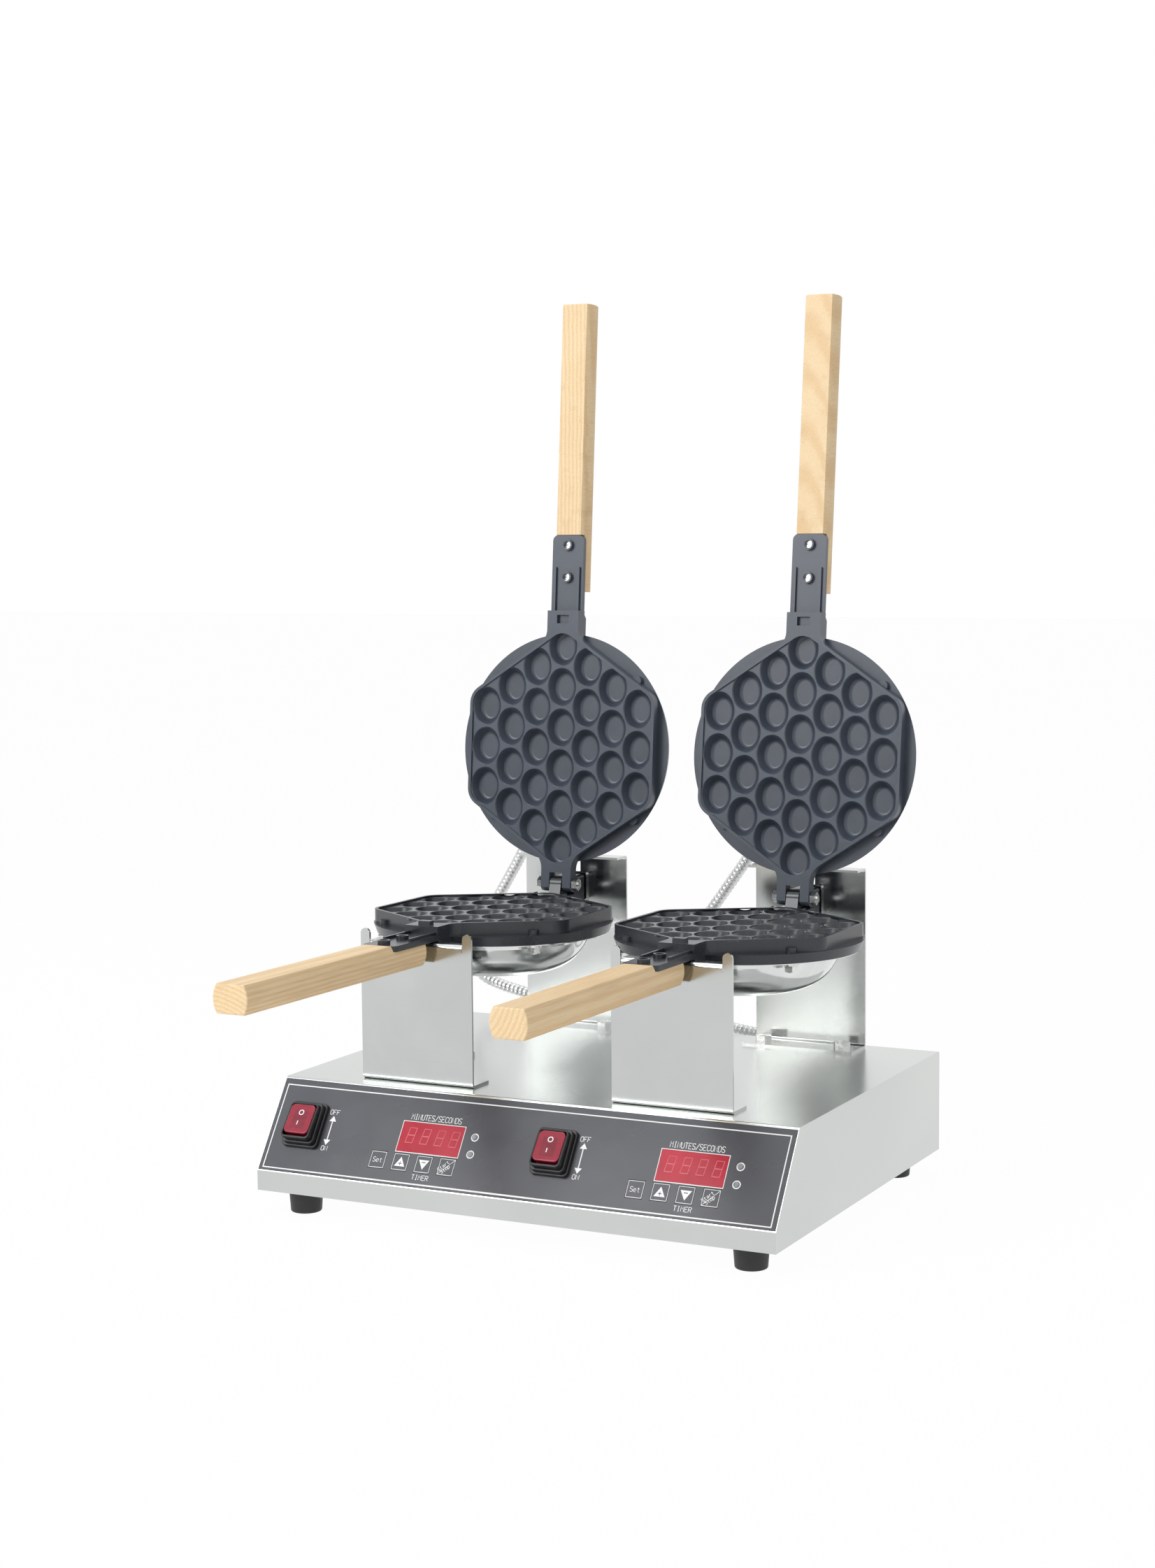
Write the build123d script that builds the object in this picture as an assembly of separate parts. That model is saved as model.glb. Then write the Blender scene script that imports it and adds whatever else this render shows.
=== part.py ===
# Twin-head egg waffle maker: two hinged pairs of cast moulds with wooden grips, carried by
# bent steel brackets over a sheet-steel base with two timers and two switches.
# Millimetres, +Z up. The origin is the middle of the machine's outer box, at floor level.
# Until it is written out, each piece lies in the machine frame: x = 0 in the middle,
# y = 0 at the front bottom edge of the base, z = 0 on the floor.

from build123d import *

import math
import os

os.makedirs("parts", exist_ok=True)

# Base box
base_width = 450.0
box_height = 84.3
lip_height = 16.3
slope_setback = 46.3
sheet = 1.2
bend_radius = 2.5
tray_flange = 12.0
foot_drop = 19.5
foot_top_radius = 14.0
foot_sole_radius = 12.5
foot_inset_side = 30.0
foot_inset_front = 25.0
foot_inset_back = 27.0
foot_screw_radius = 2.0
foot_screw_head_radius = 4.0
foot_screw_head = 2.6

# The two heads
unit_spacing = base_width / 2
sides = {"left": -0.5, "right": 0.5}

# Hinge
pin_height = 131.2
pin_rise = 6.3
pin_radius = 3.0
pin_fit = 0.05
lower_tilt = 0.45
lean = {"left": 4.7, "right": 6.2}
fork_width = 29.0
fork_slot = 12.8
fork_radius = 7.0
lug_width = 11.0
lug_radius = 6.5
lug_flare = 3.0
slot_clearance = 3.3
hinge_side_gap = 0.4
hex_head = 4.0
hinge_hex = 10.0
hinge_nut = 4.8
hinge_bolt_end = 1.2

# Cast moulds, measured from the parting plane of a closed pair
parting_gap = 0.3
cell_pitch = 35.8
column_pitch = 24.86
first_cell = 30.3
cells_in_middle_column = 6
outer_columns = 3
mould_centre = first_cell + cell_pitch * (cells_in_middle_column - 1) / 2
cell_half_width = 13.3
cell_half_length = 16.3
cell_depth = 8.4
cell_floor_scale = 0.68
cell_floor_round = 3.2
cell_edge_break = 0.8
web_recess = 1.8
border = 2.6
hex_half_width = outer_columns * column_pitch + cell_half_width + 3.12
hex_half_side = cell_pitch + 11.2
hex_half_height = (cells_in_middle_column - 1) / 2 * cell_pitch + cell_half_length + 1.2
hex_corner_radius = 17.0
hex_thickness = 11.0
disc_thickness = 8.0
disc_top_radius = hex_half_height - 6.0
disc_back_radius = disc_top_radius - 3.0
stud_across = hex_half_width - 21.0
stud_along = hex_half_side + 13.5
stud_radius = 2.5
stud_boss_radius = 4.5
stud_boss_height = 4.0
stud_nut_hex = 10.0
stud_nut = 5.0
stud_washer_radius = 6.4
stud_washer = 1.2
thin_nut_hex = 8.0
thin_nut = 2.7
stud_depth = 7.0
stud_end = 1.0

# Neck, tongue and peg at the grip end
neck_width = 30.5
neck_end = mould_centre + hex_half_height + 14.1
neck_thickness = 15.2
neck_seat = 12.1
neck_flare = 7.0
hinge_flare = 10.0
lip_clearance = 1.0
tongue_drop = 6.9
tongue_thickness = 4.6
tongue_end = neck_end + 66.8
tongue_corner = 5.0
tongue_boss_radius = 5.0
tongue_boss_height = 3.2
tongue_boss_places = (neck_end + 29.7, neck_end + 58.0)
rib_offset = 11.5
rib_width = 2.2
rib_height = 2.2
rib_end = neck_end + 38.5
key_pocket_v = neck_end - 7.6
key_width = 10.6
key_length = 6.4
key_height = 3.2
key_clearance = 0.5

# Wooden grips
grip_start = neck_end + 17.8
grip_end = grip_start + 252.3
grip_gap = 0.3
grip_flat = 23.5
grip_bulge = 30.0
grip_thickness = 21.9
grip_end_round = 1.2
grip_screw_radius = 2.0
grip_screw_head_radius = 3.4
grip_screw_head = 2.2
grip_screw_length = 19.0
grip_screw_slot = 1.0

# Rear pivot of each lower mould
lower_neck_drop = 2.1
boss_start = 9.0
boss_end = 29.5
boss_half_width = 10.3
boss_above = 12.0
boss_below = 12.0
boss_round = 3.0
pivot_wall = 4.0
pivot_end = 1.0
pivot_radius = 4.0
pivot_gap = 0.3
pivot_plate_width = 23.0
pivot_plate_below = 34.0
pivot_plate_above = 13.7
pivot_plate_sheet = 2.5
pivot_nut_hex = 13.0
pivot_nut = 6.5
pivot_washer_radius = 9.0
pivot_washer = 1.6

# Domed covers and heating elements
dome_radius = disc_back_radius - 18.0
dome_flat = dome_radius - 44.0
dome_wall = 0.8
dome_straight = 5.0
dome_depth = 32.0
dome_flange_radius = disc_back_radius - 1.0
heater_ring_radius = dome_radius - 22.0
heater_rod_radius = 3.2
heater_seat = 0.1

# Brackets
bracket_sheet = 2.0
bracket_bend = 3.5
saddle_setback = 17.8
neck_overhang = 9.7
front_width = 102.0
front_flange = 26.0
front_lip = 12.0
ear_width = 8.2
ear_height = 123.4
ear_relief = 0.8
saddle_gap = 0.2
pin_to_rear_web = 36.0
rear_margin = 10.3
rear_width = 100.2
rear_height = 154.4
rear_flange = 33.9
notch_half_width = pivot_radius + 0.5
stop_gap = 0.3
bolt_offset = 36.0
front_bolt_setback = 14.0
rear_bolt_setback = 19.7
bolt_radius = 4.0
bolt_hex = 13.0
bolt_head = 5.3
bolt_nut = 6.5
bolt_clearance = 0.3
thread_end = 3.0

# Control panel, measured along the sloped front: across from a head's centre line, and up
film = 0.6
film_side = 0.8
film_bottom = 0.8
film_top = 80.2
window_x = 35.6
window_s = 41.8
window_width = 56.0
window_height = 26.0
window_depth = 4.0
panel_fit = 0.2
lamp_x = 73.3
lamp_s = (32.8, 47.2)
lamp_radius = 2.3
lamp_dome = 0.7
lamp_top_radius = 1.4
key_x = -6.0
key_step = 20.7
key_s = 20.2
key_cap_width = 13.6
key_cap_height = 14.2
key_cap_depth = 1.9
key_cap_round = 0.6
key_fit = 0.3
key_travel = 0.4
key_names = ("set", "up", "down", "start")
board_left = -22.0
board_right = 82.0
board_low = 8.0
board_high = 62.0
board_depth = 14.0
board_thickness = 1.6
board_gap = 0.3
post_radius = 2.5
post_inset = 5.0
stem_radius = 1.8
stem_gap = 0.1

# Rocker switches with rubber boots
switch_x = -79.6
switch_s = 41.3
rocker_width = 22.6
rocker_half_length = 12.7
rocker_top = 13.7
rocker_corner = 4.0
rocker_pivot_height = 3.0
rocker_below = 6.0
rocker_tilt = 5.0
rocker_round = 0.8
axle_radius = 1.5
axle_reach = 1.0
axle_fit = 0.05
well_side_gap = 0.4
well_end_gap = 1.4
switch_wall = 1.3
switch_depth = 24.0
switch_rim_height = 6.4
blade_width = 6.0
blade_thickness = 0.8
blade_length = 9.0
boot_fit = 0.2
boot_width = 32.7
boot_length = 38.3
boot_tier = 3.5
boot_groove = 0.9
boot_step = 1.6
boot_groove_depth = 0.6
boot_corner = 4.0
boot_tiers = 3
boot_mouth_corner = 2.5

# Flexible conduits and their glands
conduit_radius = 5.2
conduit_root_radius = 4.5
conduit_bore = 3.6
conduit_rib_pitch = 4.2
conduit_grip = 4.0
conduit_lead = 14.0
gland_radius = 7.2
gland_collar_radius = 9.5
gland_collar = 4.0
gland_length = 12.0
gland_tail = 5.0
gland_angle = 225.0
gland_place_on_shoulder = 0.5
gland_seat = 0.3
gland_fit = 0.25
gland_hole_fit = 0.1
lower_gland_x = -21.0
lower_gland_y = -15.0
base_gland_height = 42.0
base_gland_x = -30.0
power_gland_x = 150.0
power_gland_height = 40.0
power_gland_radius = 9.0
terminal_width = 70.0
terminal_depth = 22.0
terminal_height = 18.0
terminal_ways = 5
terminal_hole_radius = 2.2
power_collar = 3.0
power_length = 18.0
cord_bore = 4.0

# Places worked out from the sizes above
front_y = slope_setback + saddle_setback
pin_y = front_y + neck_overhang + neck_end
rear_y = pin_y + pin_to_rear_web
base_depth = rear_y + rear_margin
floor_of_box = foot_drop
top_of_box = foot_drop + box_height
pin_z = top_of_box + pin_height
mould_thickness = hex_thickness + disc_thickness
tilt_sine = math.sin(math.radians(lower_tilt))
tilt_cosine = math.cos(math.radians(lower_tilt))
slope_rise = box_height - lip_height
slope_plane = Plane(
    origin=(0, 0, floor_of_box + lip_height),
    x_dir=(1, 0, 0),
    z_dir=(0, -slope_rise, slope_setback),
)
grip_top = -tongue_drop
grip_bottom = grip_top - grip_thickness
rearmost = max(
    pin_y + grip_end * math.sin(math.radians(angle))
    - (grip_bottom + pin_rise) * math.cos(math.radians(angle))
    for angle in lean.values()
)
foremost = pin_y - grip_end * tilt_cosine - (pin_rise - grip_bottom) * tilt_sine
origin_y = (rearmost + foremost) / 2


def unit_x(side):
    return sides[side] * unit_spacing


def block(x_range, y_range, z_range):
    ranges = (x_range, y_range, z_range)
    middle = [(low + high) / 2 for low, high in ranges]
    size = [high - low for low, high in ranges]
    return Pos(*middle) * Box(*size)


def rod_x(radius, x_range, y, z):
    low, high = x_range
    return Pos((low + high) / 2, y, z) * Rot(0, 90, 0) * Cylinder(radius, high - low)


def rod_y(radius, x, y_range, z):
    low, high = y_range
    return Pos(x, (low + high) / 2, z) * Rot(90, 0, 0) * Cylinder(radius, high - low)


def rod_z(radius, x, y, z_range):
    low, high = z_range
    return Pos(x, y, (low + high) / 2) * Cylinder(radius, high - low)


def hex_z(across_flats, x, y, z_range):
    low, high = z_range
    outline = RegularPolygon(across_flats / 2, 6, major_radius=False)
    return Pos(x, y, low) * extrude(outline, amount=high - low)


def profile_x(points, x_range):
    low, high = x_range
    face = make_face(Polyline(*points, close=True))
    return Pos(low, 0, 0) * extrude(Plane.YZ * face, amount=high - low)


def write(name, *solids):
    placed = [Pos(0, -origin_y, 0) * solid for solid in solids]
    shape = placed[0] if len(placed) == 1 else Compound(children=placed)
    export_step(shape, f"parts/{name}.step")


# Base box

def box_outline():
    points = [
        (0, floor_of_box),
        (0, floor_of_box + lip_height),
        (slope_setback, top_of_box),
        (base_depth, top_of_box),
        (base_depth, floor_of_box),
    ]
    face = make_face(Polyline(*points, close=True))
    bends = [v for v in face.vertices() if v.Y > floor_of_box + sheet]
    return fillet(bends, bend_radius)


def slope_cut(x, s, width, height):
    return slope_plane.location * Pos(x, s, 0) * Box(width, height, 8 * sheet)


def panel_cuts():
    cuts = []
    for side in sides:
        x = unit_x(side)
        width = window_width + 2 * panel_fit
        height = window_height + 2 * panel_fit
        cuts.append(slope_cut(x + window_x, window_s, width, height))
        width, length = switch_outline()
        cuts.append(slope_cut(x + switch_x, switch_s, width + 2 * panel_fit, length + 2 * panel_fit))
        for index in range(len(key_names)):
            place = x + key_x + index * key_step
            width = key_cap_width + 2 * key_fit
            height = key_cap_height + 2 * key_fit
            cuts.append(slope_cut(place, key_s, width, height))
        for s in lamp_s:
            hole = Cylinder(lamp_radius + panel_fit, 8 * sheet)
            cuts.append(slope_plane.location * Pos(x + lamp_x, s, 0) * hole)
    return cuts


def bolt_places():
    places = []
    for side in sides:
        for offset in (-bolt_offset, bolt_offset):
            places.append((unit_x(side) + offset, front_y + front_bolt_setback))
            places.append((unit_x(side) + offset, rear_y - rear_bolt_setback))
    return places


def base_wrap():
    half = base_width / 2 - sheet
    outline = box_outline()
    inside = offset(outline, -sheet)
    shell = extrude(Plane.YZ * outline, amount=half, both=True)
    shell -= extrude(Plane.YZ * inside, amount=half, both=True)
    shell -= block((-half, half), (sheet, base_depth - sheet),
                   (floor_of_box - sheet, floor_of_box + 2 * sheet))
    shell -= panel_cuts()
    for x, y in bolt_places():
        shell -= rod_z(bolt_radius + bolt_clearance, x, y, (top_of_box - 4 * sheet, top_of_box + sheet))
    for side in sides:
        x = unit_x(side)
        shell -= rod_z(gland_radius + bolt_clearance, x + lower_gland_x, lower_conduit_y(),
                       (top_of_box - 4 * sheet, top_of_box + sheet))
        shell -= rod_y(gland_radius + bolt_clearance, x + base_gland_x,
                       (base_depth - 4 * sheet, base_depth + sheet), floor_of_box + base_gland_height)
    shell -= rod_y(power_gland_radius + bolt_clearance, power_gland_x,
                   (base_depth - 4 * sheet, base_depth + sheet), floor_of_box + power_gland_height)
    return shell


def side_panel(sign):
    plate = extrude(Plane.YZ * box_outline(), amount=sheet)
    x = base_width / 2 - sheet if sign > 0 else -base_width / 2
    return Pos(x, 0, 0) * plate


def foot_places():
    xs = (-base_width / 2 + foot_inset_side, base_width / 2 - foot_inset_side)
    ys = (foot_inset_front, base_depth - foot_inset_back)
    return [(x, y) for x in xs for y in ys]


def bottom_tray():
    gap = panel_fit
    half = base_width / 2 - sheet - gap
    front = sheet + gap
    back = base_depth - sheet - gap
    tray = block((-half, half), (front, back), (floor_of_box, floor_of_box + tray_flange))
    tray -= block((sheet - half, half - sheet), (front + sheet, back - sheet),
                  (floor_of_box + sheet, floor_of_box + 2 * tray_flange))
    for x, y in foot_places():
        tray -= rod_z(foot_screw_radius, x, y, (floor_of_box - sheet, floor_of_box + 2 * sheet))
    return tray


def rubber_foot(x, y):
    cone = Cone(foot_sole_radius, foot_top_radius, foot_drop)
    cone = fillet(cone.edges().group_by(Axis.Z)[0], 1.5)
    foot = Pos(x, y, foot_drop / 2) * cone
    foot -= rod_z(foot_screw_head_radius + 1, x, y, (-1, foot_drop / 2))
    foot -= rod_z(foot_screw_radius, x, y, (-1, foot_drop + 1))
    return foot


def foot_screw(x, y):
    head = foot_drop / 2 - foot_screw_head
    screw = rod_z(foot_screw_head_radius, x, y, (head, foot_drop / 2))
    screw += rod_z(foot_screw_radius, x, y, (head, foot_drop + 5 * sheet))
    return screw


# Control panel

def control_overlay():
    half = base_width / 2 - film_side
    sheet_film = block((-half, half), (film_bottom, film_top), (0, film))
    return slope_plane.location * sheet_film - panel_cuts()


def display_window(side):
    glass = Box(window_width, window_height, window_depth)
    place = Pos(unit_x(side) + window_x, window_s, film - window_depth / 2)
    return slope_plane.location * place * glass


def lamp(side, s):
    length = board_depth + film
    pipe = Pos(0, 0, film - length / 2) * Cylinder(lamp_radius, length)
    cap = Pos(0, 0, film + lamp_dome / 2) * Cone(lamp_radius, lamp_top_radius, lamp_dome)
    return slope_plane.location * Pos(unit_x(side) + lamp_x, s, 0) * (pipe + cap)


def key_cap(side, index):
    cap = Box(key_cap_width, key_cap_height, key_cap_depth)
    cap = fillet(cap.edges().filter_by(Axis.Z), key_cap_round)
    place = Pos(unit_x(side) + key_x + index * key_step, key_s, film - key_cap_depth / 2)
    return slope_plane.location * place * cap


def timer_board(side):
    board = block((board_left, board_right), (board_low, board_high),
                  (-board_depth - board_thickness, -board_depth))
    board += block((window_x - window_width / 2, window_x + window_width / 2),
                   (window_s - window_height / 2, window_s + window_height / 2),
                   (-board_depth, film - window_depth - board_gap))
    for x in (board_left + post_inset, board_right - post_inset):
        for s in (board_low + post_inset, board_high - post_inset):
            board += rod_z(post_radius, x, s, (-board_depth, -sheet - board_gap))
    stem_top = film - key_cap_depth - key_travel - stem_gap
    for index in range(len(key_names)):
        board += rod_z(stem_radius, key_x + index * key_step, key_s, (-board_depth, stem_top))
    return slope_plane.location * Pos(unit_x(side), 0, 0) * board


def well_size():
    return rocker_width + 2 * well_side_gap, 2 * (rocker_half_length + well_end_gap)


def switch_outline():
    width, length = well_size()
    return width + 2 * switch_wall, length + 2 * switch_wall


def switch_body(side):
    width, length = switch_outline()
    well_width, well_length = well_size()
    top = film + switch_rim_height
    body = block((-width / 2, width / 2), (-length / 2, length / 2), (-switch_depth, top))
    well_floor = rocker_pivot_height - rocker_below - well_end_gap
    body -= block((-well_width / 2, well_width / 2), (-well_length / 2, well_length / 2),
                  (well_floor, top + 1))
    body -= rod_x(axle_radius + axle_fit, (-width, width), 0, rocker_pivot_height)
    for middle in (-length / 4, length / 4):
        body += block((-blade_width / 2, blade_width / 2),
                      (middle - blade_thickness / 2, middle + blade_thickness / 2),
                      (-switch_depth - blade_length, -switch_depth))
    return slope_plane.location * Pos(unit_x(side) + switch_x, switch_s, 0) * body


def rounded_slab(width, length, low, high, radius):
    slab = block((-width / 2, width / 2), (-length / 2, length / 2), (low, high))
    return fillet(slab.edges().filter_by(Axis.Z), radius)


def switch_boot(side):
    level = film
    boot = None
    for tier in range(boot_tiers):
        width = boot_width - 2 * tier * boot_step
        length = boot_length - 2 * tier * boot_step
        middle = level + boot_tier / 2
        slab = rounded_slab(width, length, level, level + boot_tier, boot_corner)
        slab = fillet(slab.faces().sort_by(Axis.Z)[-1].edges(), boot_tier * 0.25)
        if tier == boot_tiers - 1:
            slab = Pos(0, 0, middle) * Rot(-rocker_tilt, 0, 0) * Pos(0, 0, -middle) * slab
        if boot is None:
            boot = slab
        else:
            inset = 2 * boot_groove_depth
            corner = boot_corner - boot_groove_depth
            boot += rounded_slab(width - inset, length - inset, level - boot_groove, middle, corner)
            boot += slab
        level += boot_tier + boot_groove
    body_width, body_length = switch_outline()
    well_width, well_length = well_size()
    rim = film + switch_rim_height + boot_fit
    boot -= block((-body_width / 2 - boot_fit, body_width / 2 + boot_fit),
                  (-body_length / 2 - boot_fit, body_length / 2 + boot_fit), (0, rim))
    mouth_top = level + boot_length * math.sin(math.radians(rocker_tilt))
    boot -= rounded_slab(well_width, well_length, 0, mouth_top, boot_mouth_corner)
    return slope_plane.location * Pos(unit_x(side) + switch_x, switch_s, 0) * boot


def rocker(side):
    half = rocker_half_length
    root = rocker_pivot_height + 1
    shape = rounded_slab(rocker_width, 2 * half, root, rocker_top, rocker_corner)
    shape = fillet(shape.faces().sort_by(Axis.Z)[-1].edges(), rocker_round)
    keel = [
        (-half + rocker_corner, root), (half - rocker_corner, root),
        (half / 2, rocker_pivot_height - rocker_below), (-half / 2, rocker_pivot_height - rocker_below),
    ]
    shape += profile_x(keel, (-rocker_width / 2, rocker_width / 2))
    reach = rocker_width / 2 + well_side_gap + axle_reach
    shape += rod_x(axle_radius, (-reach, reach), 0, rocker_pivot_height)
    pivot = Pos(0, 0, rocker_pivot_height)
    tilted = pivot * Rot(-rocker_tilt, 0, 0) * Pos(0, 0, -rocker_pivot_height) * shape
    return slope_plane.location * Pos(unit_x(side) + switch_x, switch_s, 0) * tilted


def terminal_block():
    y = base_depth / 2
    low = floor_of_box + sheet
    body = block((-terminal_width / 2, terminal_width / 2),
                 (y - terminal_depth / 2, y + terminal_depth / 2), (low, low + terminal_height))
    step = terminal_width / terminal_ways
    for index in range(terminal_ways):
        x = (index + 0.5) * step - terminal_width / 2
        body -= rod_z(terminal_hole_radius, x, y, (low + terminal_height / 2, low + terminal_height + 1))
    return body


# Cast moulds. X runs across, Y from the hinge pin to the grip, and Z out of the cooking face,
# with the parting plane of the closed pair at Z = 0.

def hexagon(shrink, radius):
    across = hex_half_width - shrink
    slant = math.hypot(hex_half_width, hex_half_height - hex_half_side)
    tip = hex_half_height - shrink * slant / hex_half_width
    corner = tip - (hex_half_height - hex_half_side) / hex_half_width * across
    points = [
        (-across, corner), (0, tip), (across, corner),
        (across, -corner), (0, -tip), (-across, -corner),
    ]
    return fillet(make_face(Polyline(*points, close=True)).vertices(), radius)


def cell_tool():
    top = -web_recess
    shapes = []
    for height, scale in (
        (top + cell_edge_break, (cell_half_width + 2 * cell_edge_break) / cell_half_width),
        (top - cell_edge_break, 1.0),
        (top - cell_depth, cell_floor_scale),
    ):
        grow = scale * cell_half_width - cell_half_width
        outline = Ellipse(cell_half_width + grow, cell_half_length + grow)
        shapes.append(Pos(0, 0, height) * outline)
    tool = loft(shapes, ruled=True)
    return fillet(tool.edges().group_by(Axis.Z)[0], cell_floor_round)


def cell_places():
    places = []
    for column in range(-outer_columns, outer_columns + 1):
        count = cells_in_middle_column - abs(column)
        for row in range(count):
            along = mould_centre + (row - (count - 1) / 2) * cell_pitch
            places.append((column * column_pitch, along))
    return places


def neck_block(top):
    seat_end = neck_end - (front_lip - neck_overhang) - lip_clearance
    root = mould_centre + hex_half_side
    outline = [
        (root, top), (neck_end, top), (neck_end, -neck_seat), (seat_end, -neck_seat),
        (seat_end - (neck_thickness - neck_seat), -neck_thickness), (root, -neck_thickness),
    ]
    return profile_x(outline, (-neck_width / 2, neck_width / 2))


# Concave webs between the slanted edges of the hexagon and the sides of a neck
def shoulders(half, corner, sign, slant, reach):
    run = math.hypot(1, slant)
    radius = reach * math.tan(math.acos(-slant / run) / 2)
    faces = []
    for side in (-1, 1):
        inner = Vector(side * half, corner)
        low = Vector(side * half, corner + sign * reach)
        high = Vector(side * (half + reach / run), corner - sign * slant * reach / run)
        centre = Vector(side * (half + radius), corner + sign * reach)
        middle = centre + (inner - centre).normalized() * radius
        edges = [Line(inner, low), ThreePointArc(low, middle, high), Line(high, inner)]
        faces.append(make_face(Curve() + edges))
    return faces[0] + faces[1]


def mould_plate():
    centre = Pos(0, mould_centre, 0)
    top = -parting_gap / 2
    thickness = hex_thickness + top
    plate = centre * Pos(0, 0, -hex_thickness) * extrude(hexagon(0, hex_corner_radius), amount=thickness)
    disc = Cone(disc_back_radius, disc_top_radius, disc_thickness)
    plate += centre * Pos(0, 0, -hex_thickness - disc_thickness / 2) * disc
    plate += neck_block(top)
    slant = (hex_half_height - hex_half_side) / hex_half_width
    for half, sign, reach in ((neck_width / 2, 1, neck_flare), (fork_width / 2, -1, hinge_flare)):
        corner = mould_centre + sign * (hex_half_height - slant * half)
        web = extrude(shoulders(half, corner, sign, slant, reach), amount=thickness)
        plate += Pos(0, 0, -hex_thickness) * web
    for x, y in stud_places():
        boss = rod_z(stud_boss_radius, x, y, (-hex_thickness, stud_boss_height - hex_thickness))
        plate += boss
        plate -= rod_z(stud_radius, x, y, (-mould_thickness - 1, stud_depth - mould_thickness))
    return plate


def cut_cooking_face(shape):
    recess = extrude(hexagon(border, hex_corner_radius - border), amount=web_recess)
    shape -= Pos(0, mould_centre, -web_recess) * recess
    tool = cell_tool()
    return shape - [Pos(x, y, 0) * tool for x, y in cell_places()]


def stud_places():
    return [(x, mould_centre + y) for x in (-stud_across, stud_across) for y in (-stud_along, stud_along)]


def grip_section(top, bottom):
    flat = grip_flat / 2
    bulge = grip_bulge / 2
    middle = (top + bottom) / 2
    edges = [
        Line((-flat, top), (flat, top)),
        ThreePointArc((flat, top), (bulge, middle), (flat, bottom)),
        Line((flat, bottom), (-flat, bottom)),
        ThreePointArc((-flat, bottom), (-bulge, middle), (-flat, top)),
    ]
    return make_face(Curve() + edges)


def along_grip(face, start, end):
    return Pos(0, end, 0) * extrude(Plane.XZ * face, amount=end - start)


def tongue():
    low = -tongue_drop - tongue_thickness
    outline = block((-neck_width / 2, neck_width / 2), (neck_end, tongue_end), (low, -tongue_drop))
    far = outline.edges().filter_by(Axis.Z).group_by(Axis.Y)[-1]
    shape = fillet(far, tongue_corner)
    for y in tongue_boss_places:
        shape += rod_z(tongue_boss_radius, 0, y, (-tongue_drop - 1, -tongue_drop + tongue_boss_height))
    for x in (-rib_offset, rib_offset):
        shape += block((x - rib_width / 2, x + rib_width / 2), (neck_end, rib_end),
                       (low, -tongue_drop + rib_height))
    head_floor = -tongue_drop - grip_screw_head
    for y in tongue_boss_places:
        shape -= rod_z(grip_screw_head_radius, 0, y, (head_floor, 1))
        shape -= rod_z(grip_screw_radius, 0, y, (low - 1, 1))
    return shape


def upper_casting():
    top = -parting_gap / 2
    shape = mould_plate() + tongue()
    pocket = key_width / 2 + key_clearance
    reach = key_length / 2 + key_clearance
    shape -= block((-pocket, pocket), (key_pocket_v - reach, key_pocket_v + reach),
                   (-key_height - key_clearance, 1))
    half = fork_width / 2
    around = (-2 * fork_radius, 2 * fork_radius)
    ear = block((-half, half), (0, mould_centre - hex_half_side), (-hex_thickness, top))
    end = rod_x(fork_radius, (-half, half), 0, -pin_rise)
    end -= block((-fork_width, fork_width), around, (top, fork_radius))
    shape += ear + end
    slot = block((-fork_slot / 2, fork_slot / 2), (-2 * fork_radius, lug_radius + slot_clearance),
                 (-2 * mould_thickness, 1))
    shape -= slot
    shape -= rod_x(pin_radius + pin_fit, (-fork_width, fork_width), 0, -pin_rise)
    return cut_cooking_face(cut_fork_corner(shape))


def cut_fork_corner(shape):
    behind = block((-fork_width, fork_width), (-4 * fork_radius, 0), (-4 * fork_radius, 0))
    keep = rod_x(fork_radius, (-fork_width, fork_width), 0, -pin_rise)
    return shape - (behind - keep)


def lower_casting():
    top = -parting_gap / 2
    shape = mould_plate() + tongue()
    half = key_width / 2
    shape += block((-half, half), (key_pocket_v - key_length / 2, key_pocket_v + key_length / 2),
                   (top - 1, key_height))
    clear = pin_rise - fork_radius - lower_neck_drop
    shape += block((-fork_width / 2, fork_width / 2), (-boss_start, mould_centre - hex_half_side),
                   (-hex_thickness, clear))
    shape -= rod_x(fork_radius + hinge_side_gap, (-fork_width / 2 - 2, -lug_width / 2), 0, pin_rise)
    shape -= rod_x(fork_radius + hinge_side_gap, (lug_width / 2, fork_width / 2 + 2), 0, pin_rise)
    lug = rod_x(lug_radius, (-lug_width / 2, lug_width / 2), 0, pin_rise)
    sides_of_lug = [
        (-lug_radius, pin_rise), (lug_radius, pin_rise),
        (lug_radius + lug_flare, clear - 1), (-lug_radius, clear - 1),
    ]
    lug += profile_x(sides_of_lug, (-lug_width / 2, lug_width / 2))
    shape += lug
    boss = block((-boss_half_width, boss_half_width), (-boss_end, -boss_start), (-boss_below, boss_above))
    boss = fillet(boss.edges().filter_by(Axis.Y), boss_round)
    shape += boss
    shape -= rod_x(pin_radius, (-fork_width, fork_width), 0, pin_rise)
    shape -= rod_y(pivot_radius + pivot_gap, 0, (-boss_end - 1, -boss_start - pivot_wall), 0)
    return cut_cooking_face(shape)


def dome_shoulder(inset):
    radius = dome_radius - inset
    flat = dome_flat - inset / 2
    straight = -mould_thickness - dome_wall - dome_straight
    bottom = -mould_thickness - dome_depth + inset
    turn = math.sqrt(0.5)
    middle = (flat + (radius - flat) * turn, straight - (straight - bottom) * turn)
    return ThreePointArc((radius, straight), middle, (flat, bottom))


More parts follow.
